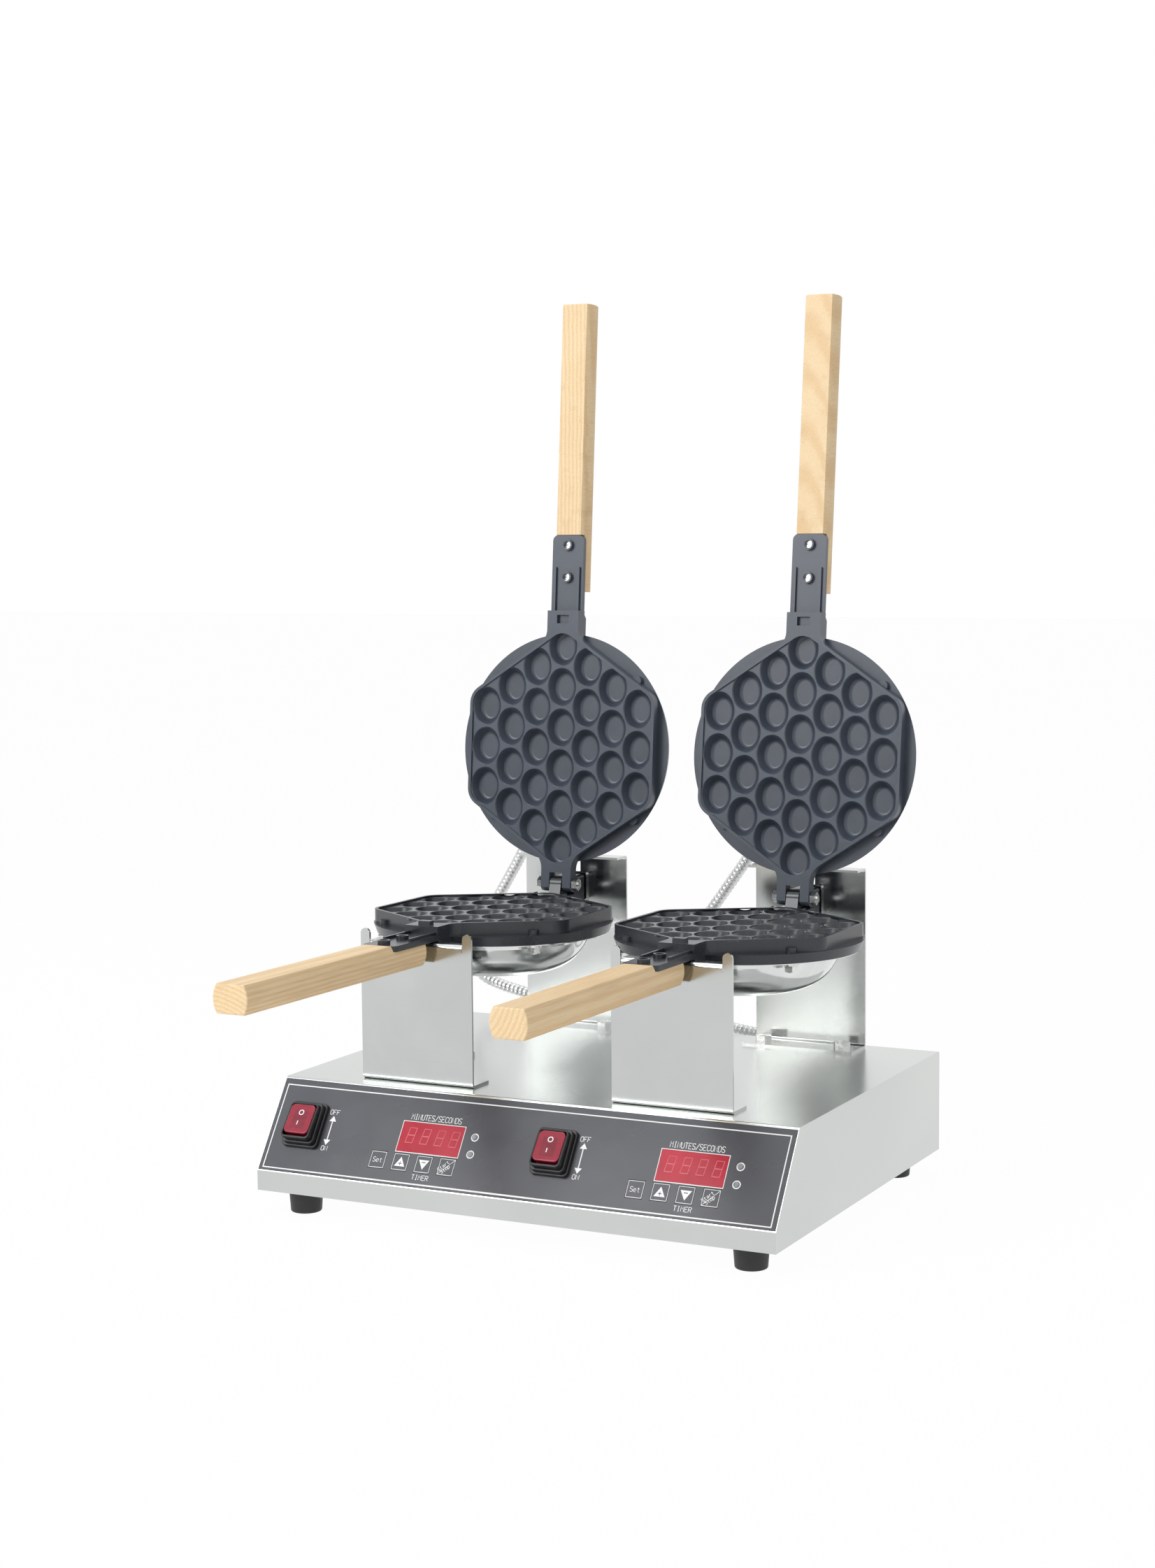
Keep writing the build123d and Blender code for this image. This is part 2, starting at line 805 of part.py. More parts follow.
def dome_profile(inset):
    start = -mould_thickness
    shoulder = dome_shoulder(inset)
    side = shoulder @ 0
    flat = shoulder @ 1
    edges = [
        Line((0, start), (side.X, start)),
        Line((side.X, start), side),
        shoulder,
        Line(flat, (0, flat.Y)),
        Line((0, flat.Y), (0, start)),
    ]
    return make_face(Curve() + edges)


def dome_cover(gland_hole):
    outer = revolve(Plane.XZ * dome_profile(0), Axis.Z)
    outer += rod_z(dome_flange_radius, 0, 0, (-mould_thickness - dome_wall, -mould_thickness))
    cover = outer - revolve(Plane.XZ * dome_profile(dome_wall), Axis.Z)
    cover = Pos(0, mould_centre, 0) * cover
    for x, y in stud_places():
        cover -= rod_z(stud_radius + bolt_clearance, x, y, (-mould_thickness - 2, -mould_thickness + 2))
    return cover - gland_hole


def heater():
    ring = Torus(heater_ring_radius, heater_rod_radius)
    level = -mould_thickness - heater_rod_radius - heater_seat
    return Pos(0, mould_centre, level) * ring


def stud_nut_solid(x, y):
    seat = -mould_thickness - dome_wall
    under = seat - stud_washer
    nut = rod_z(stud_washer_radius, x, y, (under, seat))
    nut += hex_z(stud_nut_hex, x, y, (under - stud_nut, under))
    nut += rod_z(stud_radius, x, y, (under - stud_nut - stud_end, stud_depth - mould_thickness))
    return nut


def thin_nut_solid(x, y):
    seat = -mould_thickness - dome_wall
    nut = hex_z(thin_nut_hex, x, y, (seat - thin_nut, seat))
    nut += rod_z(stud_radius, x, y, (seat - thin_nut - stud_end, stud_depth - mould_thickness))
    return nut


def wooden_grip():
    low = -tongue_drop - tongue_thickness
    shape = along_grip(grip_section(grip_top, grip_bottom), grip_start, grip_end)
    shape = fillet(shape.faces().sort_by(Axis.Y)[-1].edges(), grip_end_round)
    shape -= block((-neck_width, neck_width), (grip_start - 1, tongue_end + grip_gap), (low, 1))
    for y in tongue_boss_places:
        shape -= rod_z(grip_screw_radius, 0, y, (low - grip_screw_length, 1))
    return shape


def grip_screw(y):
    head = -tongue_drop
    screw = rod_z(grip_screw_head_radius, 0, y, (head - grip_screw_head, head))
    screw -= block((-grip_screw_head_radius, grip_screw_head_radius),
                   (y - grip_screw_slot / 2, y + grip_screw_slot / 2), (head - 1, head + 1))
    screw += rod_z(grip_screw_radius, 0, y, (head - grip_screw_length, head - grip_screw_head))
    return screw


# Frames of the moulds in the machine

def lower_frame(side):
    pin = Location((unit_x(side), pin_y, pin_z))
    return pin * Rot(-lower_tilt, 0, 0) * Rot(0, 0, 180) * Pos(0, 0, -pin_rise)


def upper_frame(side):
    pin = Location((unit_x(side), pin_y, pin_z))
    return pin * Rot(90 - lean[side], 0, 0) * Pos(0, 0, pin_rise)


def hinge_bolt(side):
    reach = fork_width / 2 + hinge_side_gap
    x = unit_x(side)
    bolt = rod_x(pin_radius, (x - reach, x + reach + hinge_nut + hinge_bolt_end), pin_y, pin_z)
    head = Rot(0, 90, 0) * hex_z(hinge_hex, 0, 0, (-reach - hex_head, -reach))
    nut = Rot(0, 90, 0) * hex_z(hinge_hex, 0, 0, (reach, reach + hinge_nut))
    return bolt + Pos(x, pin_y, pin_z) * (head + nut)


# Brackets

def folded(points, side):
    line = FilletPolyline(*points, radius=bracket_bend)
    return make_face(offset(line, bracket_sheet, side=side))


def saddle_z():
    rise = neck_end * tilt_sine
    return pin_z - pin_rise * tilt_cosine + rise - neck_seat - saddle_gap


def front_bracket(side):
    x = unit_x(side)
    half = front_width / 2
    points = [
        (front_y + front_flange, top_of_box),
        (front_y, top_of_box),
        (front_y, saddle_z()),
        (front_y + front_lip, saddle_z()),
    ]
    shape = extrude(Plane.YZ * folded(points, Side.RIGHT), amount=half, both=True)
    inner = half - ear_width
    relief = saddle_z() - bracket_bend - bracket_sheet
    for sign in (-1, 1):
        shape -= block(sorted((sign * (inner - ear_relief), sign * (half + 1))),
                       (front_y - 1, front_y + front_lip + 1), (relief, saddle_z() + 1))
        ear_top = top_of_box + ear_height - ear_width / 2
        ear_x = sign * (half - ear_width / 2)
        ear = block((ear_x - ear_width / 2, ear_x + ear_width / 2),
                    (front_y, front_y + bracket_sheet), (relief, ear_top))
        ear += rod_y(ear_width / 2, ear_x, (front_y, front_y + bracket_sheet), ear_top)
        shape += ear
    for offset_x in (-bolt_offset, bolt_offset):
        shape -= rod_z(bolt_radius + bolt_clearance, offset_x, front_y + front_bolt_setback,
                       (top_of_box - 1, top_of_box + bracket_sheet + 1))
    return Pos(x, 0, 0) * shape


def stop_y(side):
    angle = math.radians(lean[side])
    back = mould_thickness + dome_wall - pin_rise
    level = top_of_box + rear_height - bracket_sheet / 2 - pin_z
    return pin_y + (back + level * math.sin(angle)) / math.cos(angle) + stop_gap


def rear_bracket(side):
    x = unit_x(side)
    top = top_of_box + rear_height
    points = [
        (rear_y - rear_flange, top_of_box),
        (rear_y, top_of_box),
        (rear_y, top),
        (stop_y(side), top),
    ]
    shape = extrude(Plane.YZ * folded(points, Side.LEFT), amount=rear_width / 2, both=True)
    axis_z = pivot_height()
    shape -= block((-notch_half_width, notch_half_width), (rear_y - rear_flange, rear_y + 1),
                   (axis_z, top + 1))
    shape -= rod_y(notch_half_width, 0, (rear_y - 2 * bracket_sheet, rear_y + 1), axis_z)
    for offset_x in (-bolt_offset, bolt_offset):
        shape -= rod_z(bolt_radius + bolt_clearance, offset_x, rear_y - rear_bolt_setback,
                       (top_of_box - 1, top_of_box + bracket_sheet + 1))
    return Pos(x, 0, 0) * shape


def pivot_height():
    middle = (boss_start + boss_end) / 2
    return pin_z - pin_rise * tilt_cosine - middle * tilt_sine


def pivot_plate(side):
    axis_z = pivot_height()
    web = rear_y - bracket_sheet
    half = pivot_plate_width / 2
    plate = block((-half, half), (web - pivot_plate_sheet, web),
                  (axis_z - pivot_plate_below, axis_z + pivot_plate_above))
    plate = fillet(plate.edges().filter_by(Axis.Y), boss_round)
    plate -= rod_y(pivot_radius + pivot_gap, 0, (web - 2 * pivot_plate_sheet, web + 1), axis_z)
    return Pos(unit_x(side), 0, 0) * plate


def pivot_shaft(side):
    axis_z = pivot_height()
    front = pin_y + boss_start + pivot_wall + pivot_end
    back = rear_y + pivot_washer + pivot_nut + thread_end
    shaft = rod_y(pivot_radius, 0, (front, back), axis_z)
    shaft += rod_y(pivot_washer_radius, 0, (rear_y, rear_y + pivot_washer), axis_z)
    nut = Rot(-90, 0, 0) * hex_z(pivot_nut_hex, 0, 0, (0, pivot_nut))
    shaft += Pos(0, rear_y + pivot_washer, axis_z) * nut
    return Pos(unit_x(side), 0, 0) * shaft


def bracket_bolt(x, y):
    seat = top_of_box + bracket_sheet
    bolt = hex_z(bolt_hex, x, y, (seat, seat + bolt_head))
    bolt += rod_z(bolt_radius, x, y, (top_of_box - sheet - bolt_nut - thread_end, seat))
    bolt += hex_z(bolt_hex, x, y, (top_of_box - sheet - bolt_nut, top_of_box - sheet))
    return bolt


# Glands and conduits

def gland(radius, collar_radius, length, tail):
    body = rod_z(radius, 0, 0, (-tail, 0))
    body += hex_z(2 * collar_radius - 2, 0, 0, (0, gland_collar))
    body += rod_z(radius, 0, 0, (gland_collar, length))
    return body


def gland_bored():
    body = gland(gland_radius, gland_collar_radius, gland_length, gland_tail)
    return body - rod_z(conduit_radius + gland_fit, 0, 0, (-gland_tail - 1, gland_length + 1))


def base_glands(side):
    back = Pos(unit_x(side) + base_gland_x, base_depth, floor_of_box + base_gland_height)
    top = Pos(unit_x(side) + lower_gland_x, lower_conduit_y(), top_of_box)
    return [back * Rot(-90, 0, 0) * gland_bored(), top * gland_bored()]


def power_gland():
    body = gland(power_gland_radius, power_gland_radius + power_collar, power_length, gland_tail)
    body -= rod_z(cord_bore, 0, 0, (-gland_tail - 1, power_length + 1))
    return Pos(power_gland_x, base_depth, floor_of_box + power_gland_height) * Rot(-90, 0, 0) * body


def dome_gland_frame():
    angle = math.radians(gland_angle)
    shoulder = dome_shoulder(0)
    spot = shoulder @ gland_place_on_shoulder
    away = (spot - shoulder.arc_center).normalized()
    outward = Vector(away.X * math.cos(angle), away.X * math.sin(angle), away.Y)
    place = Vector(spot.X * math.cos(angle), mould_centre + spot.X * math.sin(angle), spot.Y)
    return Plane(
        origin=place + outward * gland_seat,
        x_dir=(math.sin(angle), -math.cos(angle), 0),
        z_dir=outward,
    )


def lower_conduit_y():
    below = pin_rise + mould_thickness + dome_depth + gland_length / 2
    return pin_y - (mould_centre - lower_gland_y) * tilt_cosine - below * tilt_sine


def lower_conduit_top():
    drop = (pin_y - lower_conduit_y()) * tilt_sine
    return pin_z - pin_rise + drop - mould_thickness - dome_depth


def conduit_path(points, radii):
    return FilletPolyline(*points, radius=radii)


def ribbed_hose(path):
    ribs = max(2, round(path.length / conduit_rib_pitch))
    steady = Vector(0.7, 0.7, 0.1)
    crest = (
        (0.0, conduit_root_radius), (0.3, conduit_radius),
        (0.62, conduit_radius), (0.92, conduit_root_radius),
    )
    sections = []
    for rib in range(ribs):
        for share, radius in crest:
            at = (rib + share) / ribs
            ring = Plane(origin=path @ at, x_dir=steady, z_dir=path % at)
            sections.append(ring.location * Circle(radius))
    last = Plane(origin=path @ 1, x_dir=steady, z_dir=path % 1)
    sections.append(last.location * Circle(conduit_root_radius))
    hose = loft(sections, ruled=True)
    start = Plane(origin=path @ 0, x_dir=steady, z_dir=path % 0)
    bore = sweep(start.location * Circle(conduit_bore), path=path)
    return hose - bore


# Each point: across from the head's centre line, behind the base, and above the bottom of the box.
lid_conduit_points = {
    "left": [
        (-65.5, 24, 246), (-81.5, 27, 220), (-101.5, 27, 188), (-119.5, 25, 158), (-127.5, 23, 132),
        (-117.5, 21, 115), (-93.5, 20, 107), (-65.5, 22, 101), (-44.5, 30, 92), (-32.5, 38, 79),
        (-30, 39, 61), (-30, 32, 49), (-30, 20, 42),
    ],
    "right": [
        (-64.5, 25, 250), (-82.5, 27, 226), (-104.5, 27, 196), (-126.5, 26, 166), (-138.5, 24, 136),
        (-132.5, 22, 108), (-110.5, 20, 90), (-82.5, 20, 84), (-54.5, 27, 80), (-35.5, 36, 74), (-30, 39, 60),
        (-30, 32, 49), (-30, 20, 42),
    ],
}


def conduit_ends(side):
    plane = Plane(upper_frame(side) * dome_gland_frame().location)
    start = plane.origin + plane.z_dir * (gland_length - conduit_grip)
    ahead = plane.origin + plane.z_dir * (gland_length + conduit_lead)
    wall = Vector(unit_x(side) + base_gland_x, base_depth, floor_of_box + base_gland_height)
    end = wall + Vector(0, gland_length - conduit_grip, 0)
    return start, ahead, end


def corner_radii(points):
    radii = []
    for before, here, after in zip(points, points[1:], points[2:]):
        first = Vector(here) - Vector(before)
        second = Vector(after) - Vector(here)
        turn = math.radians(first.get_angle(second))
        run = min(first.length, second.length)
        radii.append(0.45 * run / math.tan(turn / 2))
    return radii


def lid_conduit(side):
    start, ahead, end = conduit_ends(side)
    middle = [
        Vector(unit_x(side) + x, base_depth + y, floor_of_box + z)
        for x, y, z in lid_conduit_points[side]
    ]
    points = [start, ahead, *middle, end]
    radii = corner_radii(points)
    print("lid conduit", side, "radii", [round(radius) for radius in radii])
    return ribbed_hose(conduit_path(points, radii))


def lower_conduit(side):
    x = unit_x(side) + lower_gland_x
    y = lower_conduit_y()
    low = top_of_box + gland_length - conduit_grip
    high = lower_conduit_top() - gland_length + conduit_grip
    return ribbed_hose(Line((x, y, high), (x, y, low)))


def main():
    write("base_wrap", base_wrap())
    write("side_panel_left", side_panel(-1))
    write("side_panel_right", side_panel(1))
    write("bottom_tray", bottom_tray())
    write("rubber_feet", *[rubber_foot(x, y) for x, y in foot_places()])
    write("foot_screws", *[foot_screw(x, y) for x, y in foot_places()])
    write("control_overlay", control_overlay())
    write("display_windows", *[display_window(side) for side in sides])
    write("indicator_lamps", *[lamp(side, s) for side in sides for s in lamp_s])
    write("timer_boards", *[timer_board(side) for side in sides])
    write("switch_bodies", *[switch_body(side) for side in sides])
    write("switch_boots", *[switch_boot(side) for side in sides])
    write("terminal_block", terminal_block())
    write("bracket_bolts", *[bracket_bolt(x, y) for x, y in bolt_places()])
    write("hinge_bolts", *[hinge_bolt(side) for side in sides])
    write("pivot_plates", *[pivot_plate(side) for side in sides])
    write("pivot_shafts", *[pivot_shaft(side) for side in sides])
    write("lower_conduits", *[lower_conduit(side) for side in sides])
    write("base_glands", *[gland for side in sides for gland in base_glands(side)])
    write("power_gland", power_gland())

    upper = upper_casting()
    lower = lower_casting()
    grip = wooden_grip()
    ring = heater()
    gland_place = dome_gland_frame().location
    lid_gland = gland_place * gland_bored()
    hole = rod_z(gland_radius + gland_hole_fit, 0, 0, (-dome_depth / 2, dome_depth / 2))
    upper_dome = dome_cover(gland_place * hole)
    lower_place = Pos(-lower_gland_x, mould_centre - lower_gland_y, -mould_thickness - dome_depth)
    lower_dome = dome_cover(lower_place * hole)
    lower_gland = lower_place * Rot(180, 0, 0) * gland_bored()
    nuts = [stud_nut_solid(x, y) for x, y in stud_places()]
    thin_nuts = [thin_nut_solid(x, y) for x, y in stud_places()]
    screws = [grip_screw(y) for y in tongue_boss_places]
    for side in sides:
        low = lower_frame(side)
        write(f"lower_mould_{side}", low * lower)
        write(f"lower_dome_{side}", low * lower_dome)
        write(f"lower_grip_{side}", low * grip)
        high = upper_frame(side)
        write(f"upper_mould_{side}", high * upper)
        write(f"upper_dome_{side}", high * upper_dome)
        write(f"upper_heater_{side}", high * ring)
        write(f"upper_grip_{side}", high * grip)
        write(f"upper_nuts_{side}", *[high * nut for nut in thin_nuts])
        write(f"upper_grip_screws_{side}", *[high * screw for screw in screws])
        write(f"upper_gland_{side}", high * lid_gland)
        write(f"front_bracket_{side}", front_bracket(side))
        write(f"rear_bracket_{side}", rear_bracket(side))
        write(f"rocker_{side}", rocker(side))
        write(f"lid_conduit_{side}", lid_conduit(side))
        for index, name in enumerate(key_names):
            write(f"key_{name}_{side}", key_cap(side, index))
    lows = [lower_frame(side) for side in sides]
    write("lower_heaters", *[low * ring for low in lows])
    write("lower_nuts", *[low * nut for low in lows for nut in nuts])
    write("lower_grip_screws", *[low * screw for low in lows for screw in screws])
    write("lower_glands", *[low * lower_gland for low in lows])


main()
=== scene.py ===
import math
import bmesh
import bpy
from mathutils import Matrix, Vector


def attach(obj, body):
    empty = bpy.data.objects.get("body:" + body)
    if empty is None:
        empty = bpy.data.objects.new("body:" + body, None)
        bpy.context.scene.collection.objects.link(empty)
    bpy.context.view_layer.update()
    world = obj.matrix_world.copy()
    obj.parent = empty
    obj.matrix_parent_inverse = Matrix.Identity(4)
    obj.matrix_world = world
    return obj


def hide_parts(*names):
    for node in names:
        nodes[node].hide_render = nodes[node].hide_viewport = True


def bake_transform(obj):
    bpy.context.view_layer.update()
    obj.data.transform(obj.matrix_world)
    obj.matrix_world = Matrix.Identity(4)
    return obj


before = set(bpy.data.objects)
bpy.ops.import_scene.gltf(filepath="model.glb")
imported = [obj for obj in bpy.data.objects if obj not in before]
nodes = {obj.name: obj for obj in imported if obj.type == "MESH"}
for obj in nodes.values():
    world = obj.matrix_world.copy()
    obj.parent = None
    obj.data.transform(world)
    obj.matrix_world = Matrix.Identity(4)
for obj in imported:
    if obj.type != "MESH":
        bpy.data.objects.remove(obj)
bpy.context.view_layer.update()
scene = bpy.context.scene
mm = 0.001
heads = {"left": -112.5, "right": 112.5}   # centre line of each head, in mm
print("frame loaded:", len(nodes), "nodes")


# Camera, where the photograph was taken from

cameraSetup = {
    "place": (0.93653, -1.81341, 0.54157),
    "turn": 26.887,      # towards the left, in degrees
    "down": 5.460,
    "roll": -0.507,
    "lens": 59.79,
}


def makeCamera(setup):
    data = bpy.data.cameras.new("productCamera")
    data.lens = setup["lens"]
    data.sensor_width = 36
    camera = bpy.data.objects.new("productCamera", data)
    scene.collection.objects.link(camera)
    turn, down = math.radians(setup["turn"]), math.radians(setup["down"])
    ahead = Vector((-math.sin(turn) * math.cos(down), math.cos(turn) * math.cos(down), -math.sin(down)))
    camera.rotation_mode = "QUATERNION"
    look = ahead.to_track_quat("-Z", "Y").to_matrix()
    roll = Matrix.Rotation(math.radians(setup["roll"]), 3, "Z")
    camera.rotation_quaternion = (look @ roll).to_quaternion()
    camera.location = setup["place"]
    scene.camera = camera


makeCamera(cameraSetup)


# Helpers for materials

noiseMiddle = (0.3, 0.7)


def startMaterial(name, **sockets):
    material = bpy.data.materials.new(name)
    material.use_nodes = True
    shader = material.node_tree.nodes["Principled BSDF"]
    for socket, value in sockets.items():
        shader.inputs[socket.replace("_", " ")].default_value = value
    return material, material.node_tree, shader


def placed(tree, scale=(1, 1, 1), turn=(0, 0, 0), shift=(0, 0, 0)):
    coordinates = tree.nodes.new("ShaderNodeTexCoord")
    mapping = tree.nodes.new("ShaderNodeMapping")
    mapping.inputs["Scale"].default_value = scale
    mapping.inputs["Rotation"].default_value = [math.radians(a) for a in turn]
    mapping.inputs["Location"].default_value = shift
    tree.links.new(coordinates.outputs["Object"], mapping.inputs["Vector"])
    return mapping.outputs["Vector"]


def noise(tree, vector, scale, detail=3.0, roughness=0.55, distortion=0.0):
    node = tree.nodes.new("ShaderNodeTexNoise")
    node.inputs["Scale"].default_value = scale
    node.inputs["Detail"].default_value = detail
    node.inputs["Roughness"].default_value = roughness
    node.inputs["Distortion"].default_value = distortion
    tree.links.new(vector, node.inputs["Vector"])
    return node.outputs["Fac"]


def ramp(tree, value, *stops):
    node = tree.nodes.new("ShaderNodeValToRGB")
    marks = node.color_ramp.elements
    while len(marks) < len(stops):
        marks.new(0.5)
    for mark, (place, colour) in zip(marks, stops):
        mark.position = place
        mark.color = (*colour, 1)
    tree.links.new(value, node.inputs["Fac"])
    return node.outputs["Color"]


# Noise seldom leaves the middle of its range, so that middle is spread over the wanted values

def spread(tree, value, low, high):
    node = tree.nodes.new("ShaderNodeMapRange")
    node.inputs["From Min"].default_value = noiseMiddle[0]
    node.inputs["From Max"].default_value = noiseMiddle[1]
    node.inputs["To Min"].default_value = low
    node.inputs["To Max"].default_value = high
    tree.links.new(value, node.inputs["Value"])
    return node.outputs["Result"]


def blendColours(tree, share, first, second, mode="MIX"):
    node = tree.nodes.new("ShaderNodeMix")
    node.data_type = "RGBA"
    node.blend_type = mode
    for socket, value in ((node.inputs[0], share), (node.inputs[6], first), (node.inputs[7], second)):
        if isinstance(value, (int, float)):
            socket.default_value = value
        elif isinstance(value, (tuple, list)):
            socket.default_value = (*value, 1)
        else:
            tree.links.new(value, socket)
    return node.outputs[2]


def arithmetic(tree, operation, first, second):
    node = tree.nodes.new("ShaderNodeMath")
    node.operation = operation
    for socket, value in zip(node.inputs, (first, second)):
        if isinstance(value, (int, float)):
            socket.default_value = value
        else:
            tree.links.new(value, socket)
    return node.outputs[0]


def bump(tree, shader, height, strength, distance):
    node = tree.nodes.new("ShaderNodeBump")
    node.inputs["Strength"].default_value = strength
    node.inputs["Distance"].default_value = distance
    tree.links.new(height, node.inputs["Height"])
    tree.links.new(node.outputs["Normal"], shader.inputs["Normal"])


# Steel: a faint brushing under broad soft clouds of tone

brushDepth = 0.00004


def brushedSteel(name, look):
    material, tree, shader = startMaterial(name, Metallic=1.0)
    brushing = noise(tree, placed(tree, look["brush"]), 1, 3)
    cloud = noise(tree, placed(tree), look["cloud"], 4, 0.6, 0.6)
    tone = ramp(tree, cloud, (0.3, look["dark"]), (0.7, look["light"]))
    streaks = ramp(tree, brushing, (0.25, (0.985, 0.985, 0.985)), (0.75, (1, 1, 1)))
    tree.links.new(blendColours(tree, 1.0, tone, streaks, "MULTIPLY"), shader.inputs["Base Color"])
    fine = spread(tree, brushing, -0.01, 0.01)
    rough = arithmetic(tree, "ADD", fine, spread(tree, cloud, *look["rough"]))
    tree.links.new(rough, shader.inputs["Roughness"])
    bump(tree, shader, brushing, look["relief"], brushDepth)
    return material


steelLooks = {
    "base": {
        "dark": (0.58, 0.60, 0.59), "light": (0.65, 0.665, 0.65), "cloud": 3,
        "brush": (6, 900, 900), "rough": (0.22, 0.25), "relief": 0.03,
    },
    "bracket": {
        "dark": (0.53, 0.55, 0.54), "light": (0.61, 0.625, 0.615), "cloud": 6,
        "brush": (8, 900, 900), "rough": (0.14, 0.17), "relief": 0.02,
    },
    "dome": {
        "dark": (0.66, 0.67, 0.67), "light": (0.76, 0.77, 0.77), "cloud": 30,
        "brush": (300, 300, 300), "rough": (0.10, 0.14), "relief": 0.03,
    },
    "zinc": {
        "dark": (0.60, 0.61, 0.60), "light": (0.80, 0.80, 0.79), "cloud": 160,
        "brush": (500, 500, 500), "rough": (0.16, 0.30), "relief": 0.2,
    },
    "galvanised": {
        "dark": (0.45, 0.46, 0.47), "light": (0.66, 0.67, 0.68), "cloud": 60,
        "brush": (300, 300, 300), "rough": (0.32, 0.48), "relief": 0.2,
    },
    "hose": {
        "dark": (0.52, 0.53, 0.53), "light": (0.76, 0.77, 0.76), "cloud": 90,
        "brush": (700, 700, 700), "rough": (0.22, 0.36), "relief": 0.3,
    },
    "heater": {
        "dark": (0.13, 0.11, 0.10), "light": (0.30, 0.28, 0.27), "cloud": 70,
        "brush": (400, 400, 400), "rough": (0.38, 0.55), "relief": 0.3,
    },
}
steel = {name: brushedSteel(name + "Steel", look) for name, look in steelLooks.items()}


# Cast aluminium with a non-stick coat: fine orange peel. The raised moulds get a paler copy of the same coat,
# a painted highlight for the light their faces reflect.

castLooks = {
    # upper: the same coat as lower, made paler as a painted highlight for the light reflected off the raised
    # moulds
    "upper": {"deep": (0.046, 0.057, 0.078), "worn": (0.062, 0.075, 0.101), "rough": (0.30, 0.37)},
    "lower": {"deep": (0.018, 0.021, 0.027), "worn": (0.028, 0.032, 0.040), "rough": (0.24, 0.31)},
}
castPeel = {"scale": 1400, "relief": 0.35, "depth": 0.00006}


def castCoating(name, look):
    material, tree, shader = startMaterial(name + "Coating", Specular_IOR_Level=0.55)
    cloud = noise(tree, placed(tree), 38, 4, 0.6)
    tree.links.new(ramp(tree, cloud, (0.3, look["deep"]), (0.72, look["worn"])), shader.inputs["Base Color"])
    tree.links.new(spread(tree, cloud, *look["rough"]), shader.inputs["Roughness"])
    peel = noise(tree, placed(tree), castPeel["scale"], 2)
    bump(tree, shader, peel, castPeel["relief"], castPeel["depth"])
    return material


coating = {name: castCoating(name, look) for name, look in castLooks.items()}


# Pale wood: growth rings round a pith outside the grip, pores, and a few darker streaks

woodLook = {
    "pale": (0.88, 0.68, 0.42), "ring": (0.78, 0.54, 0.29), "streak": (0.60, 0.37, 0.18),
    "driftPale": (0.90, 0.71, 0.46), "driftDark": (0.82, 0.60, 0.35), "driftShare": 0.35,
}
gripGrain = {
    "lower_grip_left": {"turn": (0, 0, 0), "pith": (0.128, 0.0, -0.165), "rings": 95},
    "lower_grip_right": {"turn": (0, 0, 0), "pith": (-0.060, 0.0, -0.245), "rings": 80},
    "upper_grip_left": {"turn": (-85.3, 0, 0), "pith": (0.160, 0.0, -0.02), "rings": 88},
    "upper_grip_right": {"turn": (-83.8, 0, 0), "pith": (-0.100, 0.0, 0.03), "rings": 74},
}


def woodGrain(name, grain):
    material, tree, shader = startMaterial(name, Specular_IOR_Level=0.35)
    wobble = noise(tree, placed(tree, (1, 0.22, 1), grain["turn"]), 26, 3, 0.5)
    rings = tree.nodes.new("ShaderNodeTexWave")
    rings.wave_type = "RINGS"
    rings.rings_direction = "Y"
    rings.inputs["Scale"].default_value = grain["rings"]
    rings.inputs["Distortion"].default_value = 2.4
    rings.inputs["Detail"].default_value = 2
    rings.inputs["Detail Scale"].default_value = 0.5
    tree.links.new(placed(tree, (1, 0.06, 1), grain["turn"], grain["pith"]), rings.inputs["Vector"])
    pores = noise(tree, placed(tree, (900, 30, 900), grain["turn"]), 1, 2)
    patch = noise(tree, placed(tree, (1, 0.15, 1), grain["turn"]), 60, 3)
    base = ramp(tree, rings.outputs["Fac"], (0.25, woodLook["pale"]), (0.95, woodLook["ring"]))
    streaks = ramp(tree, patch, (0.56, (0, 0, 0)), (0.78, (0.55, 0.55, 0.55)))
    base = blendColours(tree, streaks, base, woodLook["streak"])
    drift = ramp(tree, wobble, (0.3, woodLook["driftPale"]), (0.7, woodLook["driftDark"]))
    base = blendColours(tree, woodLook["driftShare"], base, drift)
    fine = ramp(tree, pores, (0.3, (0.90, 0.88, 0.85)), (0.55, (1, 1, 1)))
    tree.links.new(blendColours(tree, 1.0, base, fine, "MULTIPLY"), shader.inputs["Base Color"])
    tree.links.new(spread(tree, pores, 0.46, 0.60), shader.inputs["Roughness"])
    bump(tree, shader, pores, 0.3, 0.00008)
    return material


# Plastics, rubber and print

grainDepth = 0.00005


def mouldedSurface(name, look):
    sockets = {"Specular_IOR_Level": look.get("shine", 0.5), "Coat_Weight": look.get("coat", 0.0)}
    material, tree, shader = startMaterial(name, **sockets)
    cloud = noise(tree, placed(tree), look["cloud"], 3)
    tree.links.new(ramp(tree, cloud, (0.3, look["dark"]), (0.7, look["light"])), shader.inputs["Base Color"])
    tree.links.new(spread(tree, cloud, *look["rough"]), shader.inputs["Roughness"])
    grain = noise(tree, placed(tree), look["grain"], 2)
    bump(tree, shader, grain, look["relief"], look.get("depth", grainDepth))
    return material


